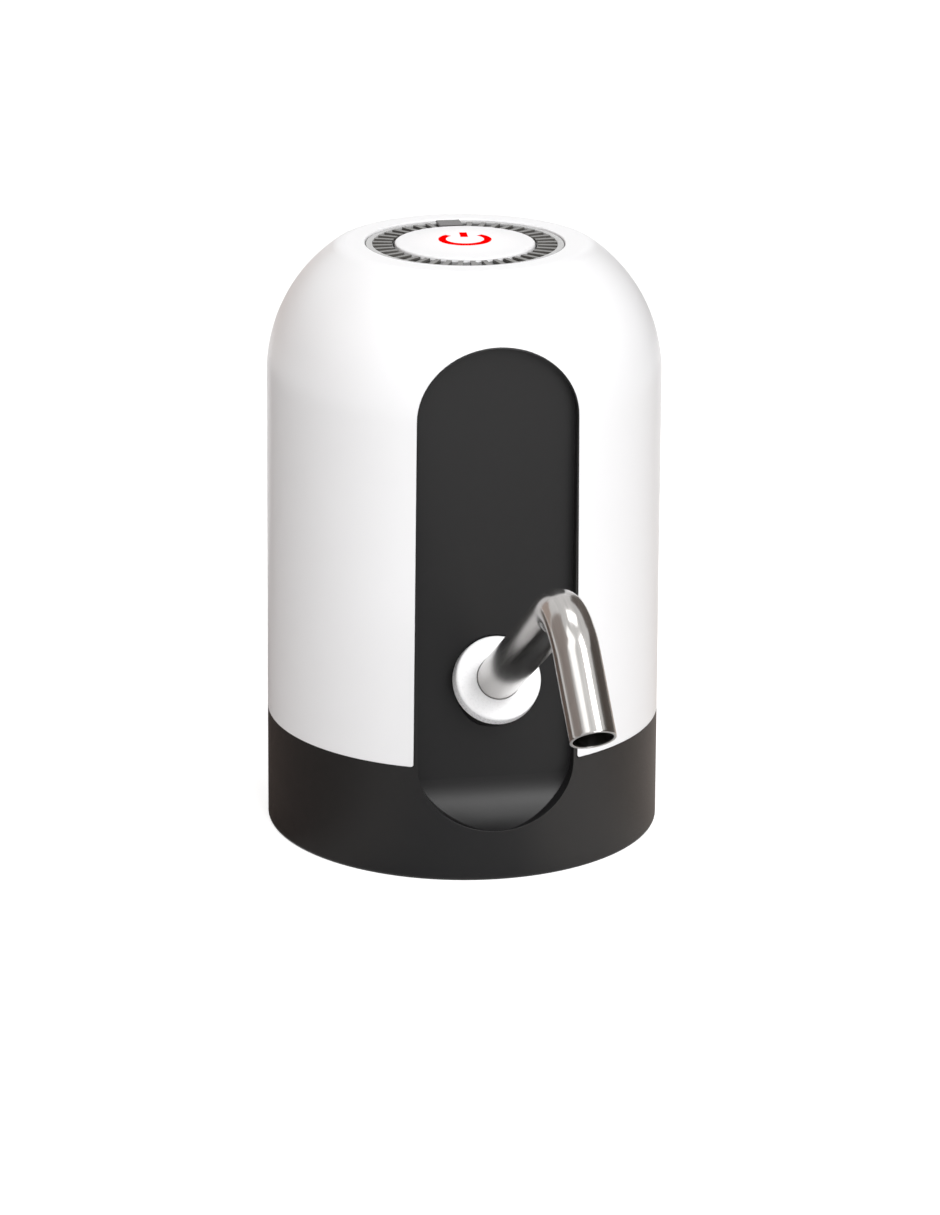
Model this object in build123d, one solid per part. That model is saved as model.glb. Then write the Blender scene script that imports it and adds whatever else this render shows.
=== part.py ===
from build123d import *
import os
from math import acos, asin, cos, degrees, pi, radians, sin, tan

# Bottled water pump. Lengths are in millimetres and angles in degrees. The pump stands on the
# rim of its base with the origin at the rim's centre, Z up and the front panel facing -Y.

# Clearances and the one overrun of every cut
FIT = 0.15
RUNNING_FIT = 0.04
SLIDING_GAP = 0.26
SCREW_FIT = 0.08
OVERRUN = 60.0

# Socket for the bottle's neck, with the gutter for the shell's screws and the skirt round it
NECK_RADIUS = 28.2
NECK_WALL = 3.2
NECK_STRAIGHT = 9.5
GUTTER_WIDTH = 4.0
SKIRT_WALL = 2.1

# The cell sets the height of the wall
CELL_RADIUS = 9.2
CELL_LENGTH = 65.0
CELL_ABOVE_WALL = 0.93
CRADLE_FLOOR = 1.5
TAB_THICKNESS = 0.3

# Outer form: a slightly tapered wall under an elliptic dome with a flat top
WALL_TAPER = 0.46
BAND_HEIGHT = 22.03
WALL_HEIGHT = CRADLE_FLOOR + TAB_THICKNESS + CELL_LENGTH - CELL_ABOVE_WALL
DOME_RISE = 29.09
CAP_SHARE = 0.85184
TOP_BORDER = 5.0
RING_RADIUS = 18.47
BASE_RADIUS = NECK_RADIUS + NECK_WALL + GUTTER_WIDTH + SKIRT_WALL
DOME_START = BAND_HEIGHT + WALL_HEIGHT
CAP_RISE = DOME_RISE * CAP_SHARE
BODY_HEIGHT = DOME_START + CAP_RISE
DOME_RADIUS = BASE_RADIUS - WALL_TAPER
DOME_REACH = (DOME_RADIUS - RING_RADIUS - TOP_BORDER) / (1 - cos(asin(CAP_SHARE)))

# Outer shell
SHELL_WALL = 2.0
PILLAR_RADIUS = 2.6
PILLAR_GAP = 1.0
PILLAR_ANGLES = (0, 60, 120, 180)
BOSS_RADIUS = 3.0
BOSS_GAP = 0.18
BOSS_ANGLES = (90, 210, 330)
CROWN_SOFTENING = 4.0
HOLE_EDGE = 0.25
SLOT_CORNER = 0.5
PORT_HALF_WIDTH = 4.0
PORT_HALF_HEIGHT = 1.75
PORT_CORNER = 1.2

# Front slot in the shell and the panel recess in the base body
SLOT_TOP_HALF_WIDTH = 14.92
SLOT_FLARE = 0.54
SLOT_ARCH_RISE = 13.35
PANEL_RIM = 0.28
PANEL_INSET = 6.0
PANEL_DEPTH = BASE_RADIUS - PANEL_INSET
RAMP_RADIUS = 9.5
RAMP_DROP = 3.63
RAMP_START = BAND_HEIGHT - RAMP_DROP
RECESS_FOOT_RISE = 11.89
RECESS_FOOT_DROP = 0.5
RECESS_FOOT_HEIGHT = BAND_HEIGHT - RECESS_FOOT_DROP
TONGUE_WALL = 2.2
TONGUE_FLANGE = 2.0

# Base body
FOOT_EDGE = 0.4
DECK_THICKNESS = 2.4
SEAL_POCKET = 1.2
LIP_THICKNESS = 1.0
LIP_HEIGHT = 4.0
RIB_COUNT = 12
RIB_THICKNESS = 1.2
RIB_RISE = 2.0
STAND_RADIUS = 3.0
STAND_CIRCLE_RADIUS = 24.0
STAND_ANGLES = (14, 75, 200)
STAND_BORE_DEPTH = 9.0

# Neck seal
SEAL_BODY = 1.6
SEAL_LIP_REACH = 0.8
SEAL_LIP_HEIGHT = 1.0
SEAL_FLANGE_REACH = 5.0
SEAL_FLANGE_THICKNESS = 1.5

# Spout root: the collar's face stands proud of the panel, on an axis that rises by ROOT_RISE
COLLAR_PROUD = 4.8
ROOT_OUT = PANEL_DEPTH + COLLAR_PROUD
ROOT_ABOVE_BAND = 17.37
ROOT_RISE = 30.0
ROOT_HEIGHT = BAND_HEIGHT + ROOT_ABOVE_BAND

# Spout collar
COLLAR_RADIUS = 7.9
COLLAR_DRAFT = 0.2
COLLAR_THICKNESS = 3.4
COLLAR_REGISTER = 1.0
COLLAR_FILLET = 0.5

# Spout tube
TUBE_RADIUS = 4.0
TUBE_WALL = 0.5
TUBE_RISING_RUN = 68.0
TUBE_FALLING_RUN = 25.0
TUBE_FALL = 50.0
TUBE_BEND = 12.0
TUBE_REST_TURN = 3.2
BEAD_HEIGHT = 0.7
BEAD_WIDTH = 0.8
BEAD_PLAY = 0.25

# Boss, outlet fitting and the ring that seals the tube
BOSS_WALL = 2.8
NOSE_WALL = 1.0
FITTING_RADIUS = 6.4
FITTING_SEAT = 4.6
FITTING_SHOULDER = 0.5
BOSS_SHOULDER = 1.0
O_RING_SECTION = 0.8
SPIGOT_RADIUS = 2.9
SPIGOT_BORE = 2.0
FITTING_SPIGOT = 5.3

# Outlet hose
HOSE_WALL = 1.35
HOSE_BEND = 9.0
HOSE_CORNER_DEPTH = 17.8

# Gear pump: two equal spur gears side by side across the pump
TEETH = 10
GEAR_MODULE = 1.0
PRESSURE_ANGLE = 25.0
ADDENDUM_SHARE = 0.9
DEDENDUM_SHARE = 1.15
BACKLASH_SHARE = 0.12
GEAR_WIDTH = 7.0
TIP_GAP = 0.06
END_GAP = 0.05
PORT_OFFSET = 4.5
HOUSING_HALF_WIDTH = 14.2
HOUSING_HALF_DEPTH = 8.8
HOUSING_CORNER = 2.5
HOUSING_ROOF = 4.0
COVER_THICKNESS = 3.0
GASKET_OFFSET = 0.55
GASKET_WIDTH = 0.7
GASKET_DEPTH = 0.8
IDLER_RADIUS = 1.25
INLET_RADIUS = 4.0
INLET_ROOT_RADIUS = 4.6
INLET_BORE = 2.6
INLET_LENGTH = 8.0
INLET_SHOULDER_DROP = 0.63
GROMMET_WALL = 1.5
GROMMET_FLANGE = 1.8
GROMMET_LIP = 1.0
SEAL_RADIUS = 3.4
SEAL_DEPTH = 2.6
SEAL_GROOVE_OUTER = 2.7
SEAL_GROOVE_INNER = 2.0

# Motor
MOTOR_RADIUS = 12.2
MOTOR_LENGTH = 30.8
CAN_WALL = 1.0
MOTOR_CAP = 1.4
CAP_REGISTER = 2.0
SHAFT_RADIUS = 1.0
BUSH_RADIUS = 3.0
BUSH_PROUD = 1.0
BUSH_LENGTH = 4.0
SHAFT_STICK_OUT = 1.5
MAGNET_THICKNESS = 2.1
MAGNET_LENGTH = 20.0
MAGNET_SPAN = 130.0
AIR_GAP = 0.45
CORE_LENGTH = 16.0
CORE_POLES = 3
CORE_SLOT = 2.4
CORE_HUB = 3.4
CORE_DROP = 2.0
COIL_OVERHANG = 1.6
COIL_CLEARANCE = 0.3
COMMUTATOR_RADIUS = 2.8
COMMUTATOR_LENGTH = 3.2
COMMUTATOR_GAP = 0.3
BRUSH_LENGTH = 4.5
BRUSH_WIDTH = 2.2

# Chassis plate and its posts
PLATE_THICKNESS = 2.0
PLATE_INSET = 3.5
PLATE_MARGIN = 0.5
NOTCH_GAP = 0.6
POST_SPACING = 17.0
POST_WIDTH = 4.0
POST_DEPTH = 3.4
POST_HEIGHT = 24.0

# Battery and its cradle
CELL_NUB_RADIUS = 3.0
CELL_NUB_HEIGHT = 0.8
CELL_ANGLE = 140.0
CELL_GAP = 0.25
CRADLE_WALL = 1.4
CRADLE_INSET = 4.05
CRADLE_HEIGHT = 46.0
CRADLE_MOUTH = 11.0
TAB_WIDTH = 5.0
TAB_REACH = 6.1

# Control board
BOARD_INSET = 6.0
BOARD_BACK = BASE_RADIUS - BOARD_INSET
BOARD_THICKNESS = 1.6
BOARD_HALF_WIDTH = 12.0
BOARD_HEIGHT = 30.0
BOARD_HOLE_DROP = 3.5
USB_HEIGHT = 8.0
USB_HALF_WIDTH = 3.75
USB_HALF_HEIGHT = 1.45
USB_SHELL = 0.3
USB_CORNER = 0.6
USB_DEPTH = 4.6
USB_TONGUE_HALF_WIDTH = 1.9
USB_TONGUE_HALF_HEIGHT = 0.3
LED_HEIGHT = 16.0
LED_RADIUS = 1.4
LED_HOLE_GAP = 0.2
PORT_INSET = 0.5
CHIP_SIZE = (5.0, 1.5, 4.0)
COIL_SIZE = (6.0, 2.8, 6.0)
SOCKET_SIZE = (8.0, 4.2, 3.6)
CHIP_RISE = 15.0
COIL_RISE = 24.0
SOCKET_RISE = 5.0

# Light ring in the flat top
RING_SINK = 0.28
RING_EDGE = 0.2
RING_RIM_WIDTH = 1.27
RIB_ZONE_WIDTH = 4.11
RIB_ZONE_RADIUS = RING_RADIUS - RING_RIM_WIDTH
RIB_DEPTH = 0.4
RING_RIBS = 40
RING_RIB_WIDTH = 1.0
RING_FLANGE_REACH = 1.95
RING_FLANGE = 1.2
GUIDE_WALL = 2.0
GUIDE_GAP = 0.4
KEY_WIDTH = 4.6
KEY_RISE = 0.2

# Power button
BUTTON_RADIUS = RIB_ZONE_RADIUS - RIB_ZONE_WIDTH
BUTTON_CROWN = 0.6
BUTTON_EDGE = 0.25
BUTTON_SINK = 0.04
BUTTON_PLATE = 1.5
BUTTON_SKIRT = 1.2
BUTTON_FLANGE = 1.0
BUTTON_FLANGE_REACH = 1.2
BUTTON_TRAVEL = 0.8
BUTTON_STOP_GAP = 0.05
STEM_RADIUS = 2.0
STEM_LENGTH = 2.8

# Button board, switch and retainer
SWITCH_HALF_WIDTH = 3.0
SWITCH_HEIGHT = 3.4
SWITCH_WELL = 1.9
PLUNGER_RADIUS = 1.7
PLUNGER_OUT = 1.0
PLUNGER_IN = 1.0
BUTTON_BOARD = 1.2
RING_LEDS = 6
RING_LED_SIZE = (1.6, 3.2, 0.9)
RETAINER_PLATE = 1.5
RETAINER_WALL = 1.9
RETAINER_WINDOW = 6.0
EAR_RADIUS = 3.2

# Screws: shank radius, head radius, head height
M2 = (1.0, 1.9, 1.3)
M25 = (1.25, 2.3, 1.6)
SHELL_GRIP_LENGTH = 8.0
CHASSIS_GRIP_LENGTH = 7.0
MOTOR_SCREW_CIRCLE = 8.0
MOTOR_GRIP_LENGTH = 1.2
PUMP_SCREW_INSET_X = 2.4
PUMP_SCREW_INSET_Y = 2.3
BOARD_GRIP_LENGTH = 2.6
RETAINER_GRIP_LENGTH = 5.5
SCREW_TIP_GAP = 0.5

FROM_BELOW = (Align.CENTER, Align.CENTER, Align.MIN)


def outer_radius(height):
    """Radius of the tapered wall at a height below the dome."""
    return BASE_RADIUS - WALL_TAPER * height / DOME_START


def post(radius, low, high, x=0, y=0):
    """Upright cylinder between two heights."""
    return Pos(x, y, low) * Cylinder(radius, high - low, align=FROM_BELOW)


def tube(outer, inner, low, high, x=0, y=0):
    """Upright tube between two heights."""
    return post(outer, low, high, x, y) - post(inner, low, high, x, y)


def block(x_low, x_high, y_low, y_high, low, high):
    """Box between two corners."""
    centre = Pos((x_low + x_high) / 2, (y_low + y_high) / 2, (low + high) / 2)
    return centre * Box(x_high - x_low, y_high - y_low, high - low)


def polar(radius, angle):
    """Plan position of a point on a circle about the pump's axis."""
    return radius * cos(radians(angle)), radius * sin(radians(angle))


def revolved(*corners):
    """Solid of revolution about the pump's axis, through (radius, height) corners."""
    return revolve(Plane.XZ * make_face(Polyline(*corners, close=True)), Axis.Z)


def screw(kind, length, extra=0):
    """Screw with its head below the seat plane and its shank above it. With extra, the hole for it."""
    shank, head, head_height = kind
    return post(shank + extra, 0, length) + post(head + extra, -head_height, 0)


def screw_hole_up(kind, grip, low, x, y):
    """Blind hole that a screw's shank enters from below."""
    return post(kind[0] + SCREW_FIT, low, low + grip + SCREW_TIP_GAP, x, y)


def envelope(inset, low):
    """Solid bell of the pump's outer form, drawn in by an inset, from a height up."""
    reach = DOME_REACH - inset
    rise = DOME_RISE - inset
    top = BODY_HEIGHT - inset
    centre = DOME_RADIUS - DOME_REACH
    sweep_angle = degrees(asin((top - DOME_START) / rise))
    arc = EllipticalCenterArc((centre, DOME_START), reach, rise, start_angle=0, arc_size=sweep_angle)
    foot = (outer_radius(low) - inset, low)
    shoulder = (centre + reach, DOME_START)
    flat = centre + reach * cos(radians(sweep_angle))
    side = Polyline((0, low), foot, shoulder)
    lid = Polyline((flat, top), (0, top), (0, low))
    return revolve(Plane.XZ * make_face(side + arc + lid), Axis.Z)


def arch_prism(half_width_low, half_width_high, low, arch_rise, back):
    """Prism with an elliptic arch on top, cut through the front from a depth behind the panel."""
    sill = Polyline((-half_width_high, DOME_START), (-half_width_low, low), (half_width_low, low),
                    (half_width_high, DOME_START))
    arch = EllipticalCenterArc((0, DOME_START), half_width_high, arch_rise, start_angle=0, arc_size=180)
    face = make_face(sill + arch)
    return extrude(Plane.XZ * Pos(0, 0, back) * face, OVERRUN)


# Places that several pieces share
DECK_TOP = BAND_HEIGHT
DECK_UNDER = DECK_TOP - DECK_THICKNESS
NECK_OUTER = NECK_RADIUS + NECK_WALL
SKIRT_INNER = BASE_RADIUS - SKIRT_WALL
PILLAR_CIRCLE = (NECK_OUTER + SKIRT_INNER) / 2
BOSS_CIRCLE = RING_RADIUS + RING_FLANGE_REACH + BOSS_RADIUS + BOSS_GAP
ROOT_DIRECTION = Vector(0, -cos(radians(ROOT_RISE)), sin(radians(ROOT_RISE)))
ROOT_PLANE = Plane(origin=(0, -ROOT_OUT, ROOT_HEIGHT), x_dir=(1, 0, 0), z_dir=ROOT_DIRECTION)
FITTING_FRONT = -COLLAR_THICKNESS - COLLAR_REGISTER
FITTING_BACK = FITTING_FRONT - FITTING_SEAT - FITTING_SHOULDER
BOSS_END = FITTING_BACK - BOSS_SHOULDER
HOSE_CORNER = Vector(0, -ROOT_OUT, ROOT_HEIGHT) - ROOT_DIRECTION * HOSE_CORNER_DEPTH
HOSE_RADIUS = SPIGOT_RADIUS + HOSE_WALL
PITCH_RADIUS = GEAR_MODULE * TEETH / 2
TIP_RADIUS = PITCH_RADIUS + GEAR_MODULE * ADDENDUM_SHARE
CAVITY_RADIUS = TIP_RADIUS + TIP_GAP
GEAR_MIDDLE = HOSE_CORNER.Z
CAVITY_LOW = GEAR_MIDDLE - GEAR_WIDTH / 2 - END_GAP
CAVITY_HIGH = GEAR_MIDDLE + GEAR_WIDTH / 2 + END_GAP
COVER_LOW = CAVITY_LOW - COVER_THICKNESS
INLET_SHOULDER = DECK_UNDER - GROMMET_LIP - INLET_SHOULDER_DROP
INLET_TIP = INLET_SHOULDER - INLET_LENGTH
PLATE_RADIUS = BASE_RADIUS - PLATE_INSET
PLATE_FRONT = PORT_OFFSET + MOTOR_RADIUS + PLATE_MARGIN
PLATE_LOW = CAVITY_HIGH + HOUSING_ROOF
PLATE_TOP = PLATE_LOW + PLATE_THICKNESS
GEAR_LINE = -PORT_OFFSET
MOTOR_X = PITCH_RADIUS
MOTOR_TOP = PLATE_TOP + MOTOR_LENGTH
HOUSING_FRONT = GEAR_LINE - HOUSING_HALF_DEPTH
CAN_INNER = MOTOR_RADIUS - CAN_WALL
CAN_TOP = MOTOR_TOP - MOTOR_CAP
ROTOR_RADIUS = CAN_INNER - FIT - MAGNET_THICKNESS - AIR_GAP
CORE_LOW = PLATE_TOP + (MOTOR_LENGTH - CORE_LENGTH) / 2 - CORE_DROP
CORE_HIGH = CORE_LOW + CORE_LENGTH
COMMUTATOR_LOW = CORE_HIGH + COIL_OVERHANG + COMMUTATOR_GAP
CRADLE_OUTER = CELL_RADIUS + CELL_GAP + CRADLE_WALL
CELL_X, CELL_Y = polar(BASE_RADIUS - CRADLE_INSET - CRADLE_OUTER, CELL_ANGLE)
CELL_LOW = DECK_TOP + CRADLE_FLOOR + TAB_THICKNESS
CELL_HIGH = CELL_LOW + CELL_LENGTH
BOARD_FRONT = BOARD_BACK - BOARD_THICKNESS
USB_CENTRE = PLATE_TOP + USB_HEIGHT
LED_CENTRE = PLATE_TOP + LED_HEIGHT
REAR_FACE = outer_radius(USB_CENTRE)
RING_TOP = BODY_HEIGHT - RING_SINK
SHELL_CEILING = BODY_HEIGHT - SHELL_WALL
RING_UNDER = SHELL_CEILING - RING_FLANGE
RING_BORE = BUTTON_RADIUS + SLIDING_GAP
RING_OUTER = RING_RADIUS + RING_FLANGE_REACH
BUTTON_RIM = BODY_HEIGHT - BUTTON_SINK
BUTTON_UNDER = BUTTON_RIM - BUTTON_PLATE
BUTTON_STOP = RING_UNDER - BUTTON_STOP_GAP
SWITCH_LOW = BUTTON_UNDER - STEM_LENGTH - PLUNGER_OUT - SWITCH_HEIGHT
BOARD_TOP = SWITCH_LOW
SWITCH_TOP = SWITCH_LOW + SWITCH_HEIGHT
STEM_END = SWITCH_TOP + PLUNGER_OUT
RETAINER_TOP = BOARD_TOP - BUTTON_BOARD
RETAINER_LOW = RETAINER_TOP - RETAINER_PLATE
GUIDE_OUTER = RIB_ZONE_RADIUS
GUIDE_INNER = GUIDE_OUTER - GUIDE_WALL
GUIDE_LOW = BOARD_TOP + RING_LED_SIZE[2] + GUIDE_GAP
RETAINER_INNER = RING_OUTER - RETAINER_WALL
BUTTON_BOARD_RADIUS = RETAINER_INNER - FIT


def pump_screw_places():
    """Corners of the pump housing that its long screws pass."""
    x = HOUSING_HALF_WIDTH - PUMP_SCREW_INSET_X
    y = HOUSING_HALF_DEPTH - PUMP_SCREW_INSET_Y
    return [(side * x, GEAR_LINE + end * y) for side in (-1, 1) for end in (-1, 1)]


def housing_outline(low, high):
    """Rounded block of the gear pump between two heights."""
    body = block(-HOUSING_HALF_WIDTH, HOUSING_HALF_WIDTH, GEAR_LINE - HOUSING_HALF_DEPTH,
                 GEAR_LINE + HOUSING_HALF_DEPTH, low, high)
    return fillet(body.edges().filter_by(Axis.Z), HOUSING_CORNER)


def gear_pair(radius, low, high):
    """Two cylinders on the gears' axes."""
    return post(radius, low, high, PITCH_RADIUS, GEAR_LINE) + post(radius, low, high, -PITCH_RADIUS, GEAR_LINE)


def race_track(offset, low, high):
    """Rounded outline at an offset outside the gear cavity."""
    radius = CAVITY_RADIUS + offset
    bar = block(-PITCH_RADIUS, PITCH_RADIUS, GEAR_LINE - radius, GEAR_LINE + radius, low, high)
    return gear_pair(radius, low, high) + bar


def top_circle(solid):
    """Highest full circle among a solid's edges, and the widest of those."""
    circles = solid.edges().filter_by(GeomType.CIRCLE).filter_by(lambda edge: edge.is_closed)
    return circles.group_by(Axis.Z)[-1].sort_by(SortBy.RADIUS)[-1]


def make_outer_shell():
    """White bell with the front slot, the hole for the light ring, its bosses and its pillars."""
    skin = envelope(0, BAND_HEIGHT)
    shell = fillet(top_circle(skin), CROWN_SOFTENING) - envelope(SHELL_WALL, BAND_HEIGHT)
    cavity = envelope(FIT, BAND_HEIGHT)
    for angle in PILLAR_ANGLES:
        x, y = polar(PILLAR_CIRCLE, angle)
        pillar = post(PILLAR_RADIUS, BAND_HEIGHT, PLATE_LOW - PILLAR_GAP, x, y) & cavity
        shell += pillar - screw_hole_up(M2, SHELL_GRIP_LENGTH, BAND_HEIGHT, x, y)
    for angle in BOSS_ANGLES:
        x, y = polar(BOSS_CIRCLE, angle)
        boss = post(BOSS_RADIUS, RETAINER_TOP, SHELL_CEILING, x, y) & cavity
        shell += boss - screw_hole_up(M2, RETAINER_GRIP_LENGTH, RETAINER_TOP, x, y)
    shell -= arch_prism(SLOT_TOP_HALF_WIDTH + SLOT_FLARE, SLOT_TOP_HALF_WIDTH, BAND_HEIGHT,
                        SLOT_ARCH_RISE, 0)
    low_edges = shell.edges().filter_by(Axis.Y).group_by(Axis.Z)[0]
    shell = fillet([edge for edge in low_edges if edge.center().Y < 0], SLOT_CORNER)
    shell -= post(RING_RADIUS + FIT, SHELL_CEILING, BODY_HEIGHT + OVERRUN)
    rim = shell.edges().filter_by(GeomType.CIRCLE).group_by(Axis.Z)[-1].sort_by(SortBy.RADIUS)[0]
    shell = fillet(rim, HOLE_EDGE)
    port = block(-PORT_HALF_WIDTH, PORT_HALF_WIDTH, 0, OVERRUN, USB_CENTRE - PORT_HALF_HEIGHT,
                 USB_CENTRE + PORT_HALF_HEIGHT)
    shell -= fillet(port.edges().filter_by(Axis.Y), PORT_CORNER)
    led_hole = Cylinder(LED_RADIUS + LED_HOLE_GAP, OVERRUN, align=FROM_BELOW)
    return shell - Pos(0, 0, LED_CENTRE) * Rot(-90, 0, 0) * led_hole


def recess_cut():
    """Space in front of the flat panel, down to the ramp that sweeps out to the band."""
    half_width = SLOT_TOP_HALF_WIDTH - PANEL_RIM
    sides = Polyline((half_width, DOME_START), (half_width, RECESS_FOOT_HEIGHT))
    foot = EllipticalCenterArc((0, RECESS_FOOT_HEIGHT), half_width, RECESS_FOOT_RISE, start_angle=0,
                               arc_size=-180)
    far_side = Polyline((-half_width, RECESS_FOOT_HEIGHT), (-half_width, DOME_START))
    head = EllipticalCenterArc((0, DOME_START), half_width, SLOT_ARCH_RISE - PANEL_RIM, start_angle=180,
                               arc_size=-180)
    face = make_face(sides + foot + far_side + head)
    opening = extrude(Plane.XZ * Pos(0, 0, PANEL_DEPTH) * face, OVERRUN)
    ramp_turn = degrees(acos(1 - (BASE_RADIUS - PANEL_DEPTH) / RAMP_RADIUS))
    ramp = CenterArc((-PANEL_DEPTH - RAMP_RADIUS, RAMP_START), RAMP_RADIUS, 0, -ramp_turn)
    ramp_end = ramp @ 1
    above = Polyline(ramp_end, (ramp_end.X - OVERRUN, ramp_end.Y), (ramp_end.X - OVERRUN, DOME_START + OVERRUN),
                     (-PANEL_DEPTH, DOME_START + OVERRUN), (-PANEL_DEPTH, RAMP_START))
    keep = extrude(Plane.YZ * make_face(ramp + above), OVERRUN, both=True)
    return opening & keep


def make_base_body():
    """Dark base: band, neck socket, deck, tongue with the panel, spout boss and chassis stands."""
    band = revolved((SKIRT_INNER, 0), (BASE_RADIUS, 0), (outer_radius(DECK_TOP), DECK_TOP), (0, DECK_TOP),
                    (0, DECK_UNDER), (SKIRT_INNER, DECK_UNDER))
    band = fillet(band.edges().filter_by(GeomType.CIRCLE).group_by(Axis.Z)[0], FOOT_EDGE)
    neck = tube(NECK_OUTER, NECK_RADIUS, 0, DECK_UNDER)
    neck -= post(NECK_RADIUS + SEAL_POCKET, NECK_STRAIGHT, DECK_UNDER)
    rib = block(NECK_OUTER - NECK_WALL / 2, SKIRT_INNER + SKIRT_WALL / 2, -RIB_THICKNESS / 2, RIB_THICKNESS / 2,
                RIB_RISE, DECK_UNDER)
    ribs = [Rot(0, 0, (index + 0.5) * 360 / RIB_COUNT) * rib for index in range(RIB_COUNT)]
    inner_skin = SHELL_WALL + FIT
    lip = envelope(inner_skin, DECK_TOP) - envelope(inner_skin + LIP_THICKNESS, DECK_TOP)
    lip &= post(BASE_RADIUS, DECK_TOP, DECK_TOP + LIP_HEIGHT)
    for angle in PILLAR_ANGLES:
        x, y = polar(PILLAR_CIRCLE, angle)
        lip -= post(PILLAR_RADIUS + FIT, DECK_TOP, DECK_TOP + LIP_HEIGHT, x, y)
    tongue_back = PANEL_DEPTH - TONGUE_WALL
    low_half = SLOT_TOP_HALF_WIDTH + SLOT_FLARE
    flush = arch_prism(low_half - FIT / 2, SLOT_TOP_HALF_WIDTH - FIT / 2, DECK_UNDER, SLOT_ARCH_RISE - FIT / 2,
                       tongue_back)
    flush &= envelope(0, 0)
    behind = arch_prism(low_half + TONGUE_FLANGE, SLOT_TOP_HALF_WIDTH + TONGUE_FLANGE, DECK_UNDER,
                        SLOT_ARCH_RISE + TONGUE_FLANGE, tongue_back)
    behind &= envelope(inner_skin, 0)
    ramp_centre = Pos(0, -PANEL_DEPTH - RAMP_RADIUS, RAMP_START)
    ramp_back = ramp_centre * Rot(0, 90, 0) * Cylinder(RAMP_RADIUS + TONGUE_WALL, low_half * 2)
    sill = block(-low_half, low_half, -BASE_RADIUS, -tongue_back, RAMP_START, DECK_TOP)
    fill = (ramp_back + sill) & post(BASE_RADIUS, 0, DECK_TOP) & envelope(0, 0)
    fill -= post(NECK_RADIUS + SEAL_POCKET, 0, DECK_UNDER)
    body = band + neck + ribs + lip + flush + behind + fill
    for angle in STAND_ANGLES:
        x, y = polar(STAND_CIRCLE_RADIUS, angle)
        body += post(STAND_RADIUS, DECK_TOP, PLATE_LOW, x, y)
        body -= post(M25[0] + SCREW_FIT, PLATE_LOW - STAND_BORE_DEPTH, PLATE_LOW, x, y)
    boss = ROOT_PLANE * post(FITTING_RADIUS + BOSS_WALL, BOSS_END, 0)
    body += boss & block(-OVERRUN, OVERRUN, -PANEL_DEPTH, 0, 0, OVERRUN)
    body -= recess_cut()
    body += ROOT_PLANE * post(FITTING_RADIUS + NOSE_WALL, FITTING_BACK, -COLLAR_THICKNESS)
    body -= ROOT_PLANE * post(COLLAR_RADIUS + COLLAR_DRAFT + FIT, -COLLAR_THICKNESS, OVERRUN)
    body -= ROOT_PLANE * post(FITTING_RADIUS + FIT / 2, FITTING_BACK, OVERRUN)
    body -= ROOT_PLANE * post(SPIGOT_RADIUS + FIT, BOSS_END, FITTING_BACK)
    body -= post(INLET_ROOT_RADIUS + GROMMET_WALL, DECK_UNDER, DECK_TOP)
    for angle in PILLAR_ANGLES:
        x, y = polar(PILLAR_CIRCLE, angle)
        body -= post(M2[0] + SCREW_FIT, DECK_UNDER, DECK_TOP, x, y)
    return body


def make_neck_seal():
    """Silicone ring in the socket: a flange under the deck and two soft lips that grip the neck."""
    outer = NECK_RADIUS + SEAL_POCKET - FIT
    inner = outer - SEAL_BODY
    low = NECK_STRAIGHT + FIT
    high = DECK_UNDER
    flange_low = high - SEAL_FLANGE_THICKNESS
    seal = tube(outer, inner, low, high) + tube(outer, inner - SEAL_FLANGE_REACH, flange_low, high)
    spacing = (flange_low - low) / 3
    for index in (1, 2):
        height = low + spacing * index
        seal += revolved((inner + SEAL_BODY / 2, height - SEAL_LIP_HEIGHT), (inner, height - SEAL_LIP_HEIGHT),
                         (inner - SEAL_LIP_REACH, height), (inner, height + SEAL_LIP_HEIGHT),
                         (inner + SEAL_BODY / 2, height + SEAL_LIP_HEIGHT))
    return seal


def make_inlet_grommet():
    """Silicone ring in the deck's hole, squeezed between the deck and the pump."""
    hole = INLET_ROOT_RADIUS + GROMMET_WALL - FIT / 2
    lip_low = DECK_UNDER - GROMMET_LIP
    ring = post(hole, lip_low, COVER_LOW) + post(hole + GROMMET_FLANGE, DECK_TOP, COVER_LOW)
    ring += post(hole + GROMMET_FLANGE / 2, lip_low, DECK_UNDER)
    return ring - post(INLET_ROOT_RADIUS, lip_low, COVER_LOW)


def make_pump_cover():
    """Floor of the gear pump with the inlet spigot that the suction hose pushes onto."""
    cover = housing_outline(COVER_LOW, CAVITY_LOW) + post(INLET_RADIUS, INLET_TIP, COVER_LOW)
    cover += post(INLET_ROOT_RADIUS, INLET_SHOULDER, COVER_LOW)
    cover -= post(INLET_BORE, INLET_TIP, CAVITY_LOW)
    for x, y in pump_screw_places():
        cover -= Pos(x, y, COVER_LOW + M2[2]) * screw(M2, COVER_THICKNESS, SCREW_FIT)
    return cover - post(IDLER_RADIUS, CAVITY_LOW - COVER_THICKNESS / 2, CAVITY_LOW, -PITCH_RADIUS, GEAR_LINE)


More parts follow.
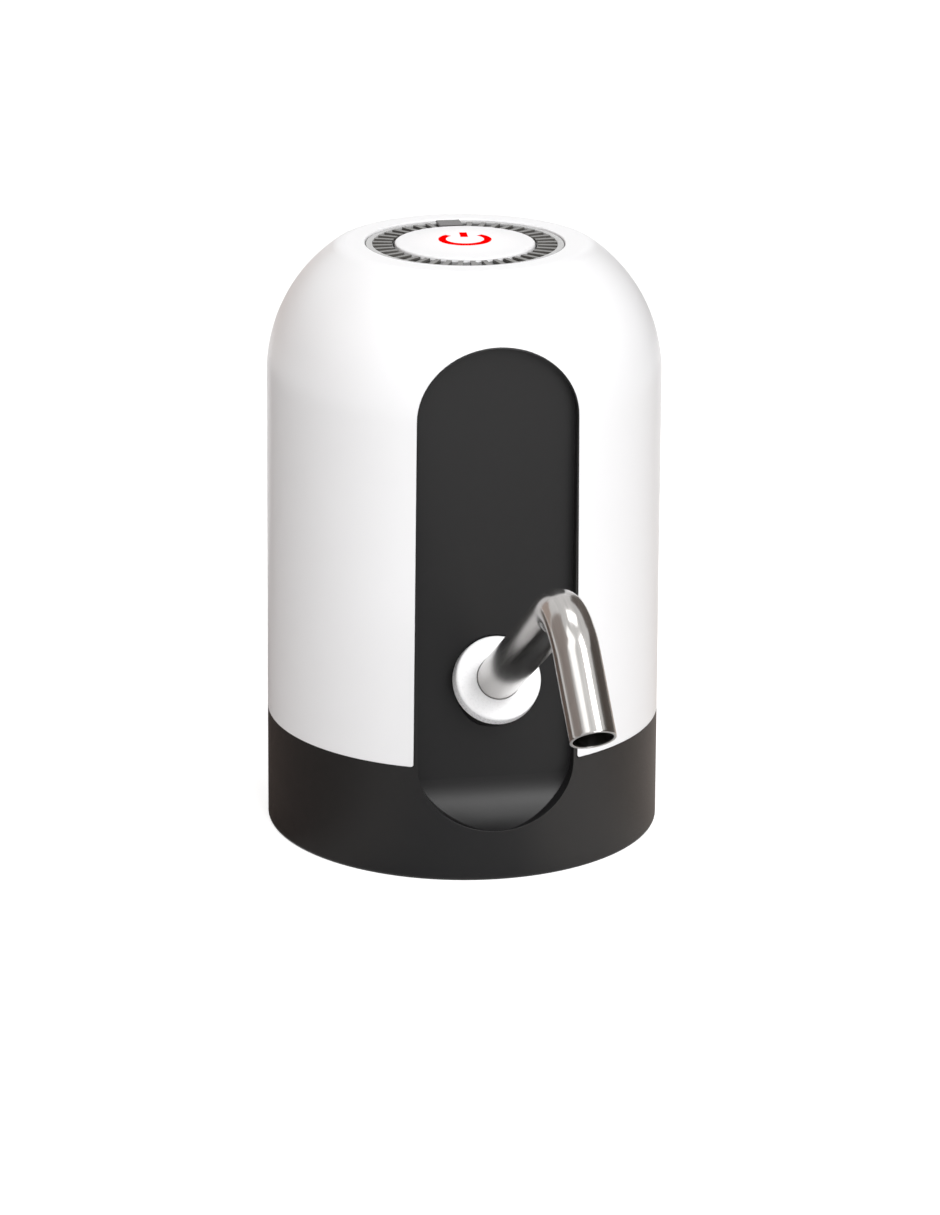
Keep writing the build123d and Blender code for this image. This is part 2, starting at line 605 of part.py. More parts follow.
def make_pump_housing():
    """Body of the gear pump: gear cavity, ports, gasket groove, seal pocket and outlet spigot."""
    housing = housing_outline(CAVITY_LOW, PLATE_LOW)
    spigot = Cylinder(SPIGOT_RADIUS, pump_spigot_length(), align=FROM_BELOW)
    housing += Pos(0, HOUSING_FRONT, GEAR_MIDDLE) * Rot(90, 0, 0) * spigot
    housing -= gear_pair(CAVITY_RADIUS, CAVITY_LOW, CAVITY_HIGH)
    housing -= post(INLET_BORE, CAVITY_LOW, CAVITY_HIGH, 0, GEAR_LINE + PORT_OFFSET)
    housing -= post(SPIGOT_BORE, CAVITY_LOW, CAVITY_HIGH, 0, GEAR_LINE - PORT_OFFSET)
    drilling = Cylinder(SPIGOT_BORE, OVERRUN, align=FROM_BELOW)
    housing -= Pos(0, GEAR_LINE - PORT_OFFSET, GEAR_MIDDLE) * Rot(90, 0, 0) * drilling
    groove = race_track(GASKET_OFFSET + GASKET_WIDTH, CAVITY_LOW, CAVITY_LOW + GASKET_DEPTH)
    housing -= groove - race_track(GASKET_OFFSET, CAVITY_LOW, CAVITY_LOW + GASKET_DEPTH)
    housing -= post(SHAFT_RADIUS + RUNNING_FIT, CAVITY_HIGH, PLATE_LOW, MOTOR_X, GEAR_LINE)
    housing -= post(SEAL_RADIUS, PLATE_LOW - SEAL_DEPTH, PLATE_LOW, MOTOR_X, GEAR_LINE)
    housing -= post(IDLER_RADIUS, CAVITY_HIGH, CAVITY_HIGH + HOUSING_ROOF / 2, -PITCH_RADIUS, GEAR_LINE)
    for x, y in pump_screw_places():
        housing -= post(M2[0] + SCREW_FIT, CAVITY_LOW, PLATE_LOW, x, y)
    for side in (-1, 1):
        y = GEAR_LINE + side * MOTOR_SCREW_CIRCLE
        housing -= post(M25[1] + SCREW_FIT, PLATE_LOW - M25[2] - SCREW_FIT, PLATE_LOW, MOTOR_X, y)
    return housing


def pump_spigot_length():
    """Outlet spigot of the pump: as long as the straight end of the hose on it."""
    return HOUSING_FRONT - HOSE_CORNER.Y - HOSE_BEND * tan(radians(ROOT_RISE / 2))


def make_pump_gasket():
    """Moulded cord in the groove between the pump's cover and its housing."""
    high = CAVITY_LOW + GASKET_DEPTH
    gasket = race_track(GASKET_OFFSET + GASKET_WIDTH, CAVITY_LOW, high)
    return gasket - race_track(GASKET_OFFSET, CAVITY_LOW, high)


def involute(angle):
    """Involute function of an angle in radians."""
    return tan(angle) - angle


def gear(x, phase, bore):
    """Spur gear with involute flanks, standing in the cavity with one tooth at the phase angle."""
    pressure = radians(PRESSURE_ANGLE)
    base_radius = PITCH_RADIUS * cos(pressure)
    root_radius = PITCH_RADIUS - GEAR_MODULE * DEDENDUM_SHARE
    half_at_pitch = (pi - BACKLASH_SHARE) / (2 * TEETH)

    def half_angle(radius):
        return half_at_pitch + involute(pressure) - involute(acos(base_radius / radius))

    def point(radius, angle):
        return (radius * cos(angle), radius * sin(angle))

    flank = [base_radius, (base_radius + TIP_RADIUS) / 2, TIP_RADIUS]
    half_base = half_angle(base_radius)
    half_tip = half_angle(TIP_RADIUS)
    edges = []
    for index in range(TEETH):
        middle = radians(phase) + 2 * pi * index / TEETH
        following = middle + 2 * pi / TEETH
        edges.append(Line(point(root_radius, middle - half_base), point(base_radius, middle - half_base)))
        edges.append(ThreePointArc(*[point(radius, middle - half_angle(radius)) for radius in flank]))
        edges.append(ThreePointArc(point(TIP_RADIUS, middle - half_tip), point(TIP_RADIUS, middle),
                                   point(TIP_RADIUS, middle + half_tip)))
        edges.append(ThreePointArc(*[point(radius, middle + half_angle(radius)) for radius in reversed(flank)]))
        edges.append(Line(point(base_radius, middle + half_base), point(root_radius, middle + half_base)))
        edges.append(ThreePointArc(point(root_radius, middle + half_base),
                                   point(root_radius, (middle + following) / 2),
                                   point(root_radius, following - half_base)))
    blank = extrude(make_face(edges), GEAR_WIDTH)
    wheel = blank - Cylinder(bore, GEAR_WIDTH, align=FROM_BELOW)
    return Pos(x, GEAR_LINE, GEAR_MIDDLE - GEAR_WIDTH / 2) * wheel


def make_idler_pin():
    """Steel pin that carries the driven gear, held in the cover and the housing."""
    return post(IDLER_RADIUS, CAVITY_LOW - COVER_THICKNESS / 2, CAVITY_HIGH + HOUSING_ROOF / 2,
                -PITCH_RADIUS, GEAR_LINE)


def make_shaft_seal():
    """Lip seal round the motor shaft, in the housing's roof."""
    low = PLATE_LOW - SEAL_DEPTH
    seal = tube(SEAL_RADIUS, SHAFT_RADIUS + RUNNING_FIT, low, PLATE_LOW, MOTOR_X, GEAR_LINE)
    groove = tube(SEAL_GROOVE_OUTER, SEAL_GROOVE_INNER, low, low + SEAL_DEPTH / 2, MOTOR_X, GEAR_LINE)
    return seal - groove


def make_outlet_fitting():
    """Seat of the spout tube in the boss: bead pocket, ring groove, stop and hose spigot."""
    bore = TUBE_RADIUS + RUNNING_FIT
    stop = FITTING_BACK + FITTING_SHOULDER
    fitting = post(FITTING_RADIUS, FITTING_BACK, FITTING_FRONT)
    fitting += post(SPIGOT_RADIUS, FITTING_BACK - FITTING_SPIGOT, FITTING_BACK)
    fitting -= post(bore, stop, FITTING_FRONT)
    fitting -= post(bead_pocket_radius(), bead_low() - BEAD_PLAY, FITTING_FRONT)
    fitting -= post(ring_groove_radius(), ring_middle() - O_RING_SECTION, ring_middle() + O_RING_SECTION)
    fitting -= post(SPIGOT_BORE, FITTING_BACK - FITTING_SPIGOT, stop)
    return ROOT_PLANE * fitting


def bead_low():
    """Inner face of the tube's bead along the root axis."""
    return FITTING_FRONT - BEAD_PLAY - BEAD_WIDTH


def bead_pocket_radius():
    """Radius of the pocket that the bead turns in."""
    return TUBE_RADIUS + BEAD_HEIGHT + BEAD_PLAY


def ring_middle():
    """Where the spout's sealing ring lies along the root axis."""
    return (bead_low() - BEAD_PLAY + FITTING_BACK + FITTING_SHOULDER) / 2


def ring_groove_radius():
    """Radius of the groove that holds the spout's sealing ring."""
    return TUBE_RADIUS + RUNNING_FIT + 2 * O_RING_SECTION


def make_spout_o_ring():
    """Rubber ring that seals the spout tube and holds it by friction where it is turned."""
    ring = Torus(TUBE_RADIUS + RUNNING_FIT + O_RING_SECTION, O_RING_SECTION)
    return ROOT_PLANE * Pos(0, 0, ring_middle()) * ring


def make_spout_collar():
    """White collar: a slightly tapered disc with a register that enters the boss."""
    back = -COLLAR_THICKNESS
    disc = Pos(0, 0, back / 2) * Cone(COLLAR_RADIUS + COLLAR_DRAFT, COLLAR_RADIUS, COLLAR_THICKNESS)
    disc = fillet(disc.edges().sort_by(Axis.Z)[-1], COLLAR_FILLET)
    collar = disc + post(FITTING_RADIUS, FITTING_FRONT, back)
    return ROOT_PLANE * (collar - post(TUBE_RADIUS + RUNNING_FIT, FITTING_FRONT, 0))


def make_spout_tube():
    """Stainless tube bent over the front, with the rolled bead that the collar traps."""
    start = FITTING_BACK + FITTING_SHOULDER + BEAD_PLAY
    root = Vector(0, -ROOT_OUT, ROOT_HEIGHT)
    inner_end = root + ROOT_DIRECTION * start
    corner = root + ROOT_DIRECTION * TUBE_RISING_RUN
    fall = Vector(0, -cos(radians(TUBE_FALL)), -sin(radians(TUBE_FALL)))
    path = FilletPolyline(inner_end, corner, corner + fall * TUBE_FALLING_RUN, radius=TUBE_BEND)
    section = Circle(TUBE_RADIUS) - Circle(TUBE_RADIUS - TUBE_WALL)
    spout = sweep(Plane(origin=inner_end, z_dir=ROOT_DIRECTION) * section, path=path)
    bead_middle = bead_low() + BEAD_WIDTH / 2
    bead = tube(TUBE_RADIUS + BEAD_HEIGHT, TUBE_RADIUS - TUBE_WALL / 2, bead_middle - BEAD_WIDTH / 2,
                bead_middle + BEAD_WIDTH / 2)
    spout += ROOT_PLANE * bead
    return spout.rotate(Axis(root, ROOT_DIRECTION), TUBE_REST_TURN)


def make_outlet_hose():
    """Silicone hose from the pump's spigot, round one easy bend, to the outlet fitting."""
    start = Vector(0, HOUSING_FRONT, HOSE_CORNER.Z)
    end = Vector(0, -ROOT_OUT, ROOT_HEIGHT) + ROOT_DIRECTION * BOSS_END
    path = FilletPolyline(start, HOSE_CORNER, end, radius=HOSE_BEND)
    outer = sweep(Plane(origin=start, z_dir=(0, -1, 0)) * Circle(HOSE_RADIUS), path=path)
    inner = sweep(Plane(origin=start, z_dir=(0, -1, 0)) * Circle(SPIGOT_RADIUS), path=path)
    return outer - inner


def make_motor_can():
    """Drawn steel cup of the motor, open at the top."""
    can = post(MOTOR_RADIUS, PLATE_TOP, CAN_TOP, MOTOR_X, GEAR_LINE)
    can -= post(CAN_INNER, PLATE_TOP + CAN_WALL, CAN_TOP, MOTOR_X, GEAR_LINE)
    can -= post(BUSH_RADIUS, PLATE_TOP, PLATE_TOP + CAN_WALL, MOTOR_X, GEAR_LINE)
    for side in (-1, 1):
        y = GEAR_LINE + side * MOTOR_SCREW_CIRCLE
        can -= post(M25[0] + SCREW_FIT, PLATE_TOP, PLATE_TOP + CAN_WALL, MOTOR_X, y)
    return can


def make_motor_end_cap():
    """Moulded lid of the motor with its register and the seat of the upper bush."""
    cap = post(MOTOR_RADIUS, CAN_TOP, MOTOR_TOP, MOTOR_X, GEAR_LINE)
    cap += post(CAN_INNER - FIT, CAN_TOP - CAP_REGISTER, CAN_TOP, MOTOR_X, GEAR_LINE)
    return cap - post(BUSH_RADIUS, CAN_TOP - CAP_REGISTER, MOTOR_TOP, MOTOR_X, GEAR_LINE)


def make_motor_bushes():
    """Two sintered bushes that the shaft runs in."""
    bore = SHAFT_RADIUS + RUNNING_FIT
    front = tube(BUSH_RADIUS, bore, PLATE_TOP - BUSH_PROUD, PLATE_TOP + BUSH_LENGTH - BUSH_PROUD,
                 MOTOR_X, GEAR_LINE)
    rear = tube(BUSH_RADIUS, bore, CAN_TOP - CAP_REGISTER, MOTOR_TOP, MOTOR_X, GEAR_LINE)
    return [front, rear]


def make_motor_magnets():
    """Two arc magnets bonded inside the can."""
    outer = CAN_INNER - FIT
    middle = (CORE_LOW + CORE_HIGH) / 2
    ring = tube(outer, outer - MAGNET_THICKNESS, middle - MAGNET_LENGTH / 2, middle + MAGNET_LENGTH / 2)
    half_gap = (180 - MAGNET_SPAN) / 2
    wedge_reach = MOTOR_RADIUS * 2
    wedge = make_face(Polyline((0, 0), polar(wedge_reach, half_gap), polar(wedge_reach, 90),
                               polar(wedge_reach, 180 - half_gap), close=True))
    sector = extrude(wedge, MOTOR_TOP)
    half = ring & sector
    other = half.rotate(Axis.Z, 180)
    return [Pos(MOTOR_X, GEAR_LINE, 0) * piece for piece in (half, other)]


def make_motor_shaft():
    """Steel shaft from the drive gear through the motor."""
    return post(SHAFT_RADIUS, CAVITY_LOW + END_GAP, MOTOR_TOP + SHAFT_STICK_OUT, MOTOR_X, GEAR_LINE)


def core_slots(width, low, high):
    """Radial slots between the rotor's poles."""
    slot = block(CORE_HUB, ROTOR_RADIUS - CORE_SLOT / 2, -width / 2, width / 2, low, high)
    return [Rot(0, 0, index * 360 / CORE_POLES) * slot for index in range(CORE_POLES)]


def make_rotor_core():
    """Laminated three-pole core on the shaft."""
    core = tube(ROTOR_RADIUS, SHAFT_RADIUS, CORE_LOW, CORE_HIGH)
    for slot in core_slots(CORE_SLOT, CORE_LOW, CORE_HIGH):
        core -= slot
    return Pos(MOTOR_X, GEAR_LINE, 0) * core


def make_rotor_windings():
    """Copper windings, which fill the slots and stand out at both ends."""
    width = CORE_SLOT - COIL_CLEARANCE
    coils = core_slots(width, CORE_LOW - COIL_OVERHANG, CORE_HIGH + COIL_OVERHANG)
    reach = ROTOR_RADIUS - CORE_SLOT / 2
    ends = []
    for low in (CORE_LOW - COIL_OVERHANG, CORE_HIGH):
        ends.append(tube(reach, CORE_HUB, low, low + COIL_OVERHANG))
    winding = ends[0] + ends[1]
    for coil in coils:
        winding += coil
    return Pos(MOTOR_X, GEAR_LINE, 0) * winding


def make_commutator():
    """Copper commutator with its three slits."""
    high = COMMUTATOR_LOW + COMMUTATOR_LENGTH
    ring = tube(COMMUTATOR_RADIUS, SHAFT_RADIUS, COMMUTATOR_LOW, high)
    slit = block((COMMUTATOR_RADIUS + SHAFT_RADIUS) / 2, COMMUTATOR_RADIUS * 2, -COMMUTATOR_GAP / 2,
                 COMMUTATOR_GAP / 2, COMMUTATOR_LOW, high)
    for index in range(CORE_POLES):
        ring -= Rot(0, 0, index * 360 / CORE_POLES) * slit
    return Pos(MOTOR_X, GEAR_LINE, 0) * ring


def make_motor_brushes():
    """Two brushes that hang from the end cap and ride on the commutator."""
    inner = COMMUTATOR_RADIUS + RUNNING_FIT
    high = CAN_TOP - CAP_REGISTER
    brush = block(inner, inner + BRUSH_LENGTH, -BRUSH_WIDTH / 2, BRUSH_WIDTH / 2, COMMUTATOR_LOW, high)
    return [Pos(MOTOR_X, GEAR_LINE, 0) * Rot(0, 0, turn) * brush for turn in (0, 180)]


def make_chassis():
    """Plate between the pump and the motor, notched round the pillars, with two board posts."""
    plate = post(PLATE_RADIUS, PLATE_LOW, PLATE_TOP)
    plate -= block(-OVERRUN, OVERRUN, -OVERRUN, -PLATE_FRONT, PLATE_LOW, PLATE_TOP)
    for angle in PILLAR_ANGLES:
        x, y = polar(PILLAR_CIRCLE, angle)
        plate -= post(PILLAR_RADIUS + NOTCH_GAP, PLATE_LOW, PLATE_TOP, x, y)
    plate -= post(CRADLE_OUTER + FIT, PLATE_LOW, PLATE_TOP, CELL_X, CELL_Y)
    plate -= post(BUSH_RADIUS + FIT, PLATE_LOW, PLATE_TOP, MOTOR_X, GEAR_LINE)
    for side in (-1, 1):
        y = GEAR_LINE + side * MOTOR_SCREW_CIRCLE
        plate -= post(M25[0] + SCREW_FIT, PLATE_LOW, PLATE_TOP, MOTOR_X, y)
    for x, y in pump_screw_places():
        plate -= post(M2[0] + SCREW_FIT, PLATE_LOW, PLATE_TOP, x, y)
    for angle in STAND_ANGLES:
        x, y = polar(STAND_CIRCLE_RADIUS, angle)
        plate -= post(M25[0] + SCREW_FIT, PLATE_LOW, PLATE_TOP, x, y)
    for side in (-1, 1):
        x = side * POST_SPACING / 2
        plate += block(x - POST_WIDTH / 2, x + POST_WIDTH / 2, BOARD_FRONT - POST_DEPTH, BOARD_FRONT,
                       PLATE_TOP, PLATE_TOP + POST_HEIGHT)
    return plate - board_screw_shapes(SCREW_FIT)


def board_screw_shapes(extra=0):
    """Screws through the control board into the posts, head outwards. With extra, their holes."""
    height = PLATE_TOP + POST_HEIGHT - BOARD_HOLE_DROP
    turned = Rot(90, 0, 0) * screw(M2, BOARD_THICKNESS + BOARD_GRIP_LENGTH, extra)
    return [Pos(side * POST_SPACING / 2, BOARD_BACK, height) * turned for side in (-1, 1)]


def make_battery_cradle():
    """Moulded sleeve that stands on the deck and clips round the cell, open towards the middle."""
    high = DECK_TOP + CRADLE_HEIGHT
    cradle = post(CRADLE_OUTER, DECK_TOP, high) - post(CELL_RADIUS + CELL_GAP, DECK_TOP + CRADLE_FLOOR, high)
    mouth = block(-OVERRUN, 0, -CRADLE_MOUTH / 2, CRADLE_MOUTH / 2, DECK_TOP + CRADLE_FLOOR, high)
    return Pos(CELL_X, CELL_Y, 0) * (cradle - Rot(0, 0, CELL_ANGLE) * mouth)


def make_battery_cell():
    """Lithium cell, standing on its flat end."""
    cell = post(CELL_RADIUS, CELL_LOW, CELL_HIGH, CELL_X, CELL_Y)
    return cell + post(CELL_NUB_RADIUS, CELL_HIGH, CELL_HIGH + CELL_NUB_HEIGHT, CELL_X, CELL_Y)


def make_battery_tabs():
    """Nickel strips welded to both ends of the cell."""
    top_low = CELL_HIGH + CELL_NUB_HEIGHT
    strips = []
    for low in (CELL_LOW - TAB_THICKNESS, top_low):
        strip = block(-TAB_REACH, CELL_NUB_RADIUS, -TAB_WIDTH / 2, TAB_WIDTH / 2, low, low + TAB_THICKNESS)
        strips.append(Pos(CELL_X, CELL_Y, 0) * Rot(0, 0, CELL_ANGLE) * strip)
    return strips


def make_control_board():
    """Charging and motor board, standing on the plate against its two posts."""
    board = block(-BOARD_HALF_WIDTH, BOARD_HALF_WIDTH, BOARD_FRONT, BOARD_BACK, PLATE_TOP, PLATE_TOP + BOARD_HEIGHT)
    return board - board_screw_shapes(SCREW_FIT)


def make_board_components():
    """Charging chip, coil and lead socket on the inner side of the control board."""
    pieces = []
    for size, rise in ((SOCKET_SIZE, SOCKET_RISE), (CHIP_SIZE, CHIP_RISE), (COIL_SIZE, COIL_RISE)):
        width, depth, height = size
        middle = PLATE_TOP + rise
        pieces.append(block(-width / 2, width / 2, BOARD_FRONT - depth, BOARD_FRONT, middle - height / 2,
                            middle + height / 2))
    return pieces


def make_usb_socket():
    """Upright charging socket that reaches from the board into the port of the shell."""
    face = REAR_FACE - PORT_INSET
    shell = block(-USB_HALF_WIDTH, USB_HALF_WIDTH, BOARD_BACK, face, USB_CENTRE - USB_HALF_HEIGHT,
                  USB_CENTRE + USB_HALF_HEIGHT)
    shell = fillet(shell.edges().filter_by(Axis.Y), USB_CORNER)
    mouth_width = USB_HALF_WIDTH - USB_SHELL
    mouth_height = USB_HALF_HEIGHT - USB_SHELL
    mouth = block(-mouth_width, mouth_width, face - USB_DEPTH, face, USB_CENTRE - mouth_height,
                  USB_CENTRE + mouth_height)
    shell -= fillet(mouth.edges().filter_by(Axis.Y), USB_CORNER - USB_SHELL)
    return shell + block(-USB_TONGUE_HALF_WIDTH, USB_TONGUE_HALF_WIDTH, face - USB_DEPTH, face - PORT_INSET,
                         USB_CENTRE - USB_TONGUE_HALF_HEIGHT, USB_CENTRE + USB_TONGUE_HALF_HEIGHT)


def make_charge_led():
    """Round charge light that looks out through the back of the shell."""
    length = REAR_FACE - PORT_INSET - BOARD_BACK - LED_RADIUS
    led = Cylinder(LED_RADIUS, length, align=FROM_BELOW) + Pos(0, 0, length) * Sphere(LED_RADIUS)
    return Pos(0, BOARD_BACK, LED_CENTRE) * Rot(-90, 0, 0) * (led & post(LED_RADIUS, 0, length + LED_RADIUS))


def make_light_ring():
    """Clear ring in the flat top: plain rim, radial ribs, trapped flange and a light guide below."""
    floor = RING_TOP - RIB_DEPTH
    ring = revolved((RING_BORE, RING_UNDER), (RING_BORE, floor), (RIB_ZONE_RADIUS, floor),
                    (RIB_ZONE_RADIUS, RING_TOP), (RING_RADIUS, RING_TOP), (RING_RADIUS, SHELL_CEILING),
                    (RING_OUTER, SHELL_CEILING), (RING_OUTER, RING_UNDER), (GUIDE_OUTER, RING_UNDER),
                    (GUIDE_OUTER, GUIDE_LOW), (GUIDE_INNER, GUIDE_LOW), (GUIDE_INNER, RING_UNDER))
    ring = fillet(top_circle(ring), RING_EDGE)
    rib = block(RING_BORE + SLIDING_GAP, RIB_ZONE_RADIUS + RIB_DEPTH, -RING_RIB_WIDTH / 2, RING_RIB_WIDTH / 2,
                floor, RING_TOP)
    ribs = [Rot(0, 0, (index + 0.5) * 360 / RING_RIBS) * rib for index in range(RING_RIBS)]
    key = block(-KEY_WIDTH / 2, KEY_WIDTH / 2, RING_BORE + SLIDING_GAP, RING_RADIUS, floor, RING_TOP + KEY_RISE)
    key &= post(RING_RADIUS, floor, BODY_HEIGHT)
    return ring + ribs + key


def make_power_button():
    """Domed push button with a guiding skirt, a stop flange and the stem that works the switch."""
    crown = ThreePointArc((-BUTTON_RADIUS, BUTTON_RIM), (0, BUTTON_RIM + BUTTON_CROWN), (BUTTON_RADIUS, BUTTON_RIM))
    half = make_face(crown + Line(crown @ 1, crown @ 0))
    dome = revolve(Plane.XZ * split(half, Plane.YZ), Axis.Z)
    flange_low = BUTTON_STOP - BUTTON_FLANGE
    skirt_inner = BUTTON_RADIUS - BUTTON_SKIRT
    button = dome + post(BUTTON_RADIUS, BUTTON_UNDER, BUTTON_RIM)
    button = fillet(top_circle(button), BUTTON_EDGE)
    button += tube(BUTTON_RADIUS, skirt_inner, flange_low, BUTTON_UNDER)
    button += tube(BUTTON_RADIUS + BUTTON_FLANGE_REACH, skirt_inner, flange_low, BUTTON_STOP)
    return button + post(STEM_RADIUS, STEM_END, BUTTON_UNDER)


def make_button_board():
    """Round board that carries the switch and the ring of lights."""
    return post(BUTTON_BOARD_RADIUS, RETAINER_TOP, BOARD_TOP)


def make_tact_switch():
    """Push switch under the button, with the well that its plunger slides in."""
    body = block(-SWITCH_HALF_WIDTH, SWITCH_HALF_WIDTH, -SWITCH_HALF_WIDTH, SWITCH_HALF_WIDTH, SWITCH_LOW,
                 SWITCH_TOP)
    return body - post(PLUNGER_RADIUS + RUNNING_FIT, SWITCH_TOP - SWITCH_WELL, SWITCH_TOP)


def make_switch_plunger():
    """Plunger of the switch, which the button's stem pushes down."""
    return post(PLUNGER_RADIUS, SWITCH_TOP - PLUNGER_IN, STEM_END)


def make_ring_leds():
    """Small lights under the light guide."""
    depth, width, height = RING_LED_SIZE
    middle = (GUIDE_OUTER + GUIDE_INNER) / 2
    led = block(middle - depth / 2, middle + depth / 2, -width / 2, width / 2, BOARD_TOP, BOARD_TOP + height)
    return [Rot(0, 0, index * 360 / RING_LEDS) * led for index in range(RING_LEDS)]


def make_button_retainer():
    """Cup that is screwed up into the shell and holds the light ring and the button board."""
    retainer = post(RING_OUTER, RETAINER_LOW, RETAINER_TOP) + tube(RING_OUTER, RETAINER_INNER, RETAINER_TOP,
                                                                    RING_UNDER)
    for angle in BOSS_ANGLES:
        x, y = polar(BOSS_CIRCLE, angle)
        arm = block(0, BOSS_CIRCLE, -EAR_RADIUS, EAR_RADIUS, RETAINER_LOW, RETAINER_TOP)
        retainer += Rot(0, 0, angle) * arm + post(EAR_RADIUS, RETAINER_LOW, RETAINER_TOP, x, y)
        retainer -= post(BOSS_RADIUS + FIT, RETAINER_TOP, RING_UNDER, x, y)
    for angle in BOSS_ANGLES:
        x, y = polar(BOSS_CIRCLE, angle)
        retainer -= post(M2[0] + SCREW_FIT, RETAINER_LOW, RETAINER_TOP, x, y)
    return retainer - post(RETAINER_WINDOW, RETAINER_LOW, RETAINER_TOP)


def screws_up(kind, grip, places, seat):
    """Equal screws with their heads below the seat height."""
    return [Pos(x, y, seat) * screw(kind, grip) for x, y in places]


def screws_down(kind, grip, places, seat):
    """Equal screws with their heads above the seat height."""
    return [Pos(x, y, seat) * Rot(180, 0, 0) * screw(kind, grip) for x, y in places]


def screw_groups():
    """Each group of equal screws, by its node name."""
    pillars = [polar(PILLAR_CIRCLE, angle) for angle in PILLAR_ANGLES]
    stands = [polar(STAND_CIRCLE_RADIUS, angle) for angle in STAND_ANGLES]
    bosses = [polar(BOSS_CIRCLE, angle) for angle in BOSS_ANGLES]
    motor = [(MOTOR_X, GEAR_LINE + side * MOTOR_SCREW_CIRCLE) for side in (-1, 1)]
    pump_length = COVER_THICKNESS - M2[2] + PLATE_TOP - CAVITY_LOW - SCREW_FIT
    return {
        "shell_screws": screws_up(M2, DECK_THICKNESS + SHELL_GRIP_LENGTH, pillars, DECK_UNDER),
        "chassis_screws": screws_down(M25, PLATE_THICKNESS + CHASSIS_GRIP_LENGTH, stands, PLATE_TOP),
        "pump_screws": screws_up(M2, pump_length, pump_screw_places(), COVER_LOW + M2[2]),
        "motor_screws": screws_up(M25, PLATE_THICKNESS + CAN_WALL + MOTOR_GRIP_LENGTH, motor, PLATE_LOW),
        "board_screws": board_screw_shapes(),
        "retainer_screws": screws_up(M2, RETAINER_PLATE + RETAINER_GRIP_LENGTH, bosses, RETAINER_LOW),
    }


def all_pieces():
    """Every node of the pump, by name."""
    pieces = {
        "base_body": make_base_body(),
        "outer_shell": make_outer_shell(),
        "neck_seal": make_neck_seal(),
        "inlet_grommet": make_inlet_grommet(),
        "pump_cover": make_pump_cover(),
        "pump_housing": make_pump_housing(),
        "pump_gasket": make_pump_gasket(),
        "drive_gear": gear(PITCH_RADIUS, 0, SHAFT_RADIUS),
        "driven_gear": gear(-PITCH_RADIUS, 180 / TEETH, IDLER_RADIUS + RUNNING_FIT),
        "idler_pin": make_idler_pin(),
        "shaft_seal": make_shaft_seal(),
        "outlet_fitting": make_outlet_fitting(),
        "spout_o_ring": make_spout_o_ring(),
        "spout_collar": make_spout_collar(),
        "spout_tube": make_spout_tube(),
        "outlet_hose": make_outlet_hose(),
        "motor_can": make_motor_can(),
        "motor_end_cap": make_motor_end_cap(),
        "motor_bushes": make_motor_bushes(),
        "motor_magnets": make_motor_magnets(),
        "motor_shaft": make_motor_shaft(),
        "rotor_core": make_rotor_core(),
        "rotor_windings": make_rotor_windings(),
        "commutator": make_commutator(),
        "motor_brushes": make_motor_brushes(),
        "chassis": make_chassis(),
        "battery_cradle": make_battery_cradle(),
        "battery_cell": make_battery_cell(),
        "battery_tabs": make_battery_tabs(),
        "control_board": make_control_board(),
        "board_components": make_board_components(),
        "usb_socket": make_usb_socket(),
        "charge_led": make_charge_led(),
        "light_ring": make_light_ring(),
        "power_button": make_power_button(),
        "button_board": make_button_board(),
        "tact_switch": make_tact_switch(),
        "switch_plunger": make_switch_plunger(),
        "ring_leds": make_ring_leds(),
        "button_retainer": make_button_retainer(),
    }
    pieces.update(screw_groups())
    return pieces


def solid_group(shape):
    """One compound of solids, from a part or a list of parts."""
    members = shape if isinstance(shape, list) else [shape]
    return Compound(children=[solid for member in members for solid in member.solids()])


os.makedirs("parts", exist_ok=True)
for name, shape in all_pieces().items():
    export_step(solid_group(shape), f"parts/{name}.step")
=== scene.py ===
from math import cos, pi, radians, sin, sqrt, tau

import bmesh
import bpy
from mathutils import Matrix, Vector


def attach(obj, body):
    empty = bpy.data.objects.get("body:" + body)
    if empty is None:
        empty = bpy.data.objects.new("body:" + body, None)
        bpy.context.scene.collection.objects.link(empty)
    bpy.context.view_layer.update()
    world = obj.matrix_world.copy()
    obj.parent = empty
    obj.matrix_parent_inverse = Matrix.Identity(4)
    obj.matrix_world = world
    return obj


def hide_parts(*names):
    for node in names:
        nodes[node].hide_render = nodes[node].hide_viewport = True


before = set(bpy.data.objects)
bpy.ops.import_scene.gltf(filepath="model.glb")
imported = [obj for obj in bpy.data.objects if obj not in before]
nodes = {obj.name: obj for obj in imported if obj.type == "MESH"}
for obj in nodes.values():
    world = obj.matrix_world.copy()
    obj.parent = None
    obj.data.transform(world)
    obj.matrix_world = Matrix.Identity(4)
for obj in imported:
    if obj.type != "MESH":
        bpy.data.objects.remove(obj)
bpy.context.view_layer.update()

MM = 0.001

# Dark base. One black ABS moulding: band, neck socket, deck and the tongue with the sunk panel.
# It comes out of the mould with a fine satin grain.
CLOUD_SCALE = 55
GLOSS_SPREAD = 0.15
GRAIN_STRENGTH = 0.25
EDGE_SAMPLES = 4


def feed(node, values):
    """Gives a node its inputs: a socket is linked, each socket of a list is, and a plain value is set."""
    for key, value in values.items():
        for source in value if isinstance(value, list) else [value]:
            if isinstance(source, bpy.types.NodeSocket):
                node.id_data.links.new(source, node.inputs[key])
            else:
                node.inputs[key].default_value = source


def node_adder(tree, family):
    """A function that adds nodes of one family to a tree, with their settings and inputs."""
    def add(kind, values=None, family=family, **settings):
        node = tree.nodes.new(family + kind)
        for key, value in settings.items():
            setattr(node, key, value)
        feed(node, values or {})
        return node

    return add


def new_finish(name):
    """A new material and a function that adds nodes to it."""
    material = bpy.data.materials.new(name)
    material.use_nodes = True
    return material, node_adder(material.node_tree, "ShaderNode")


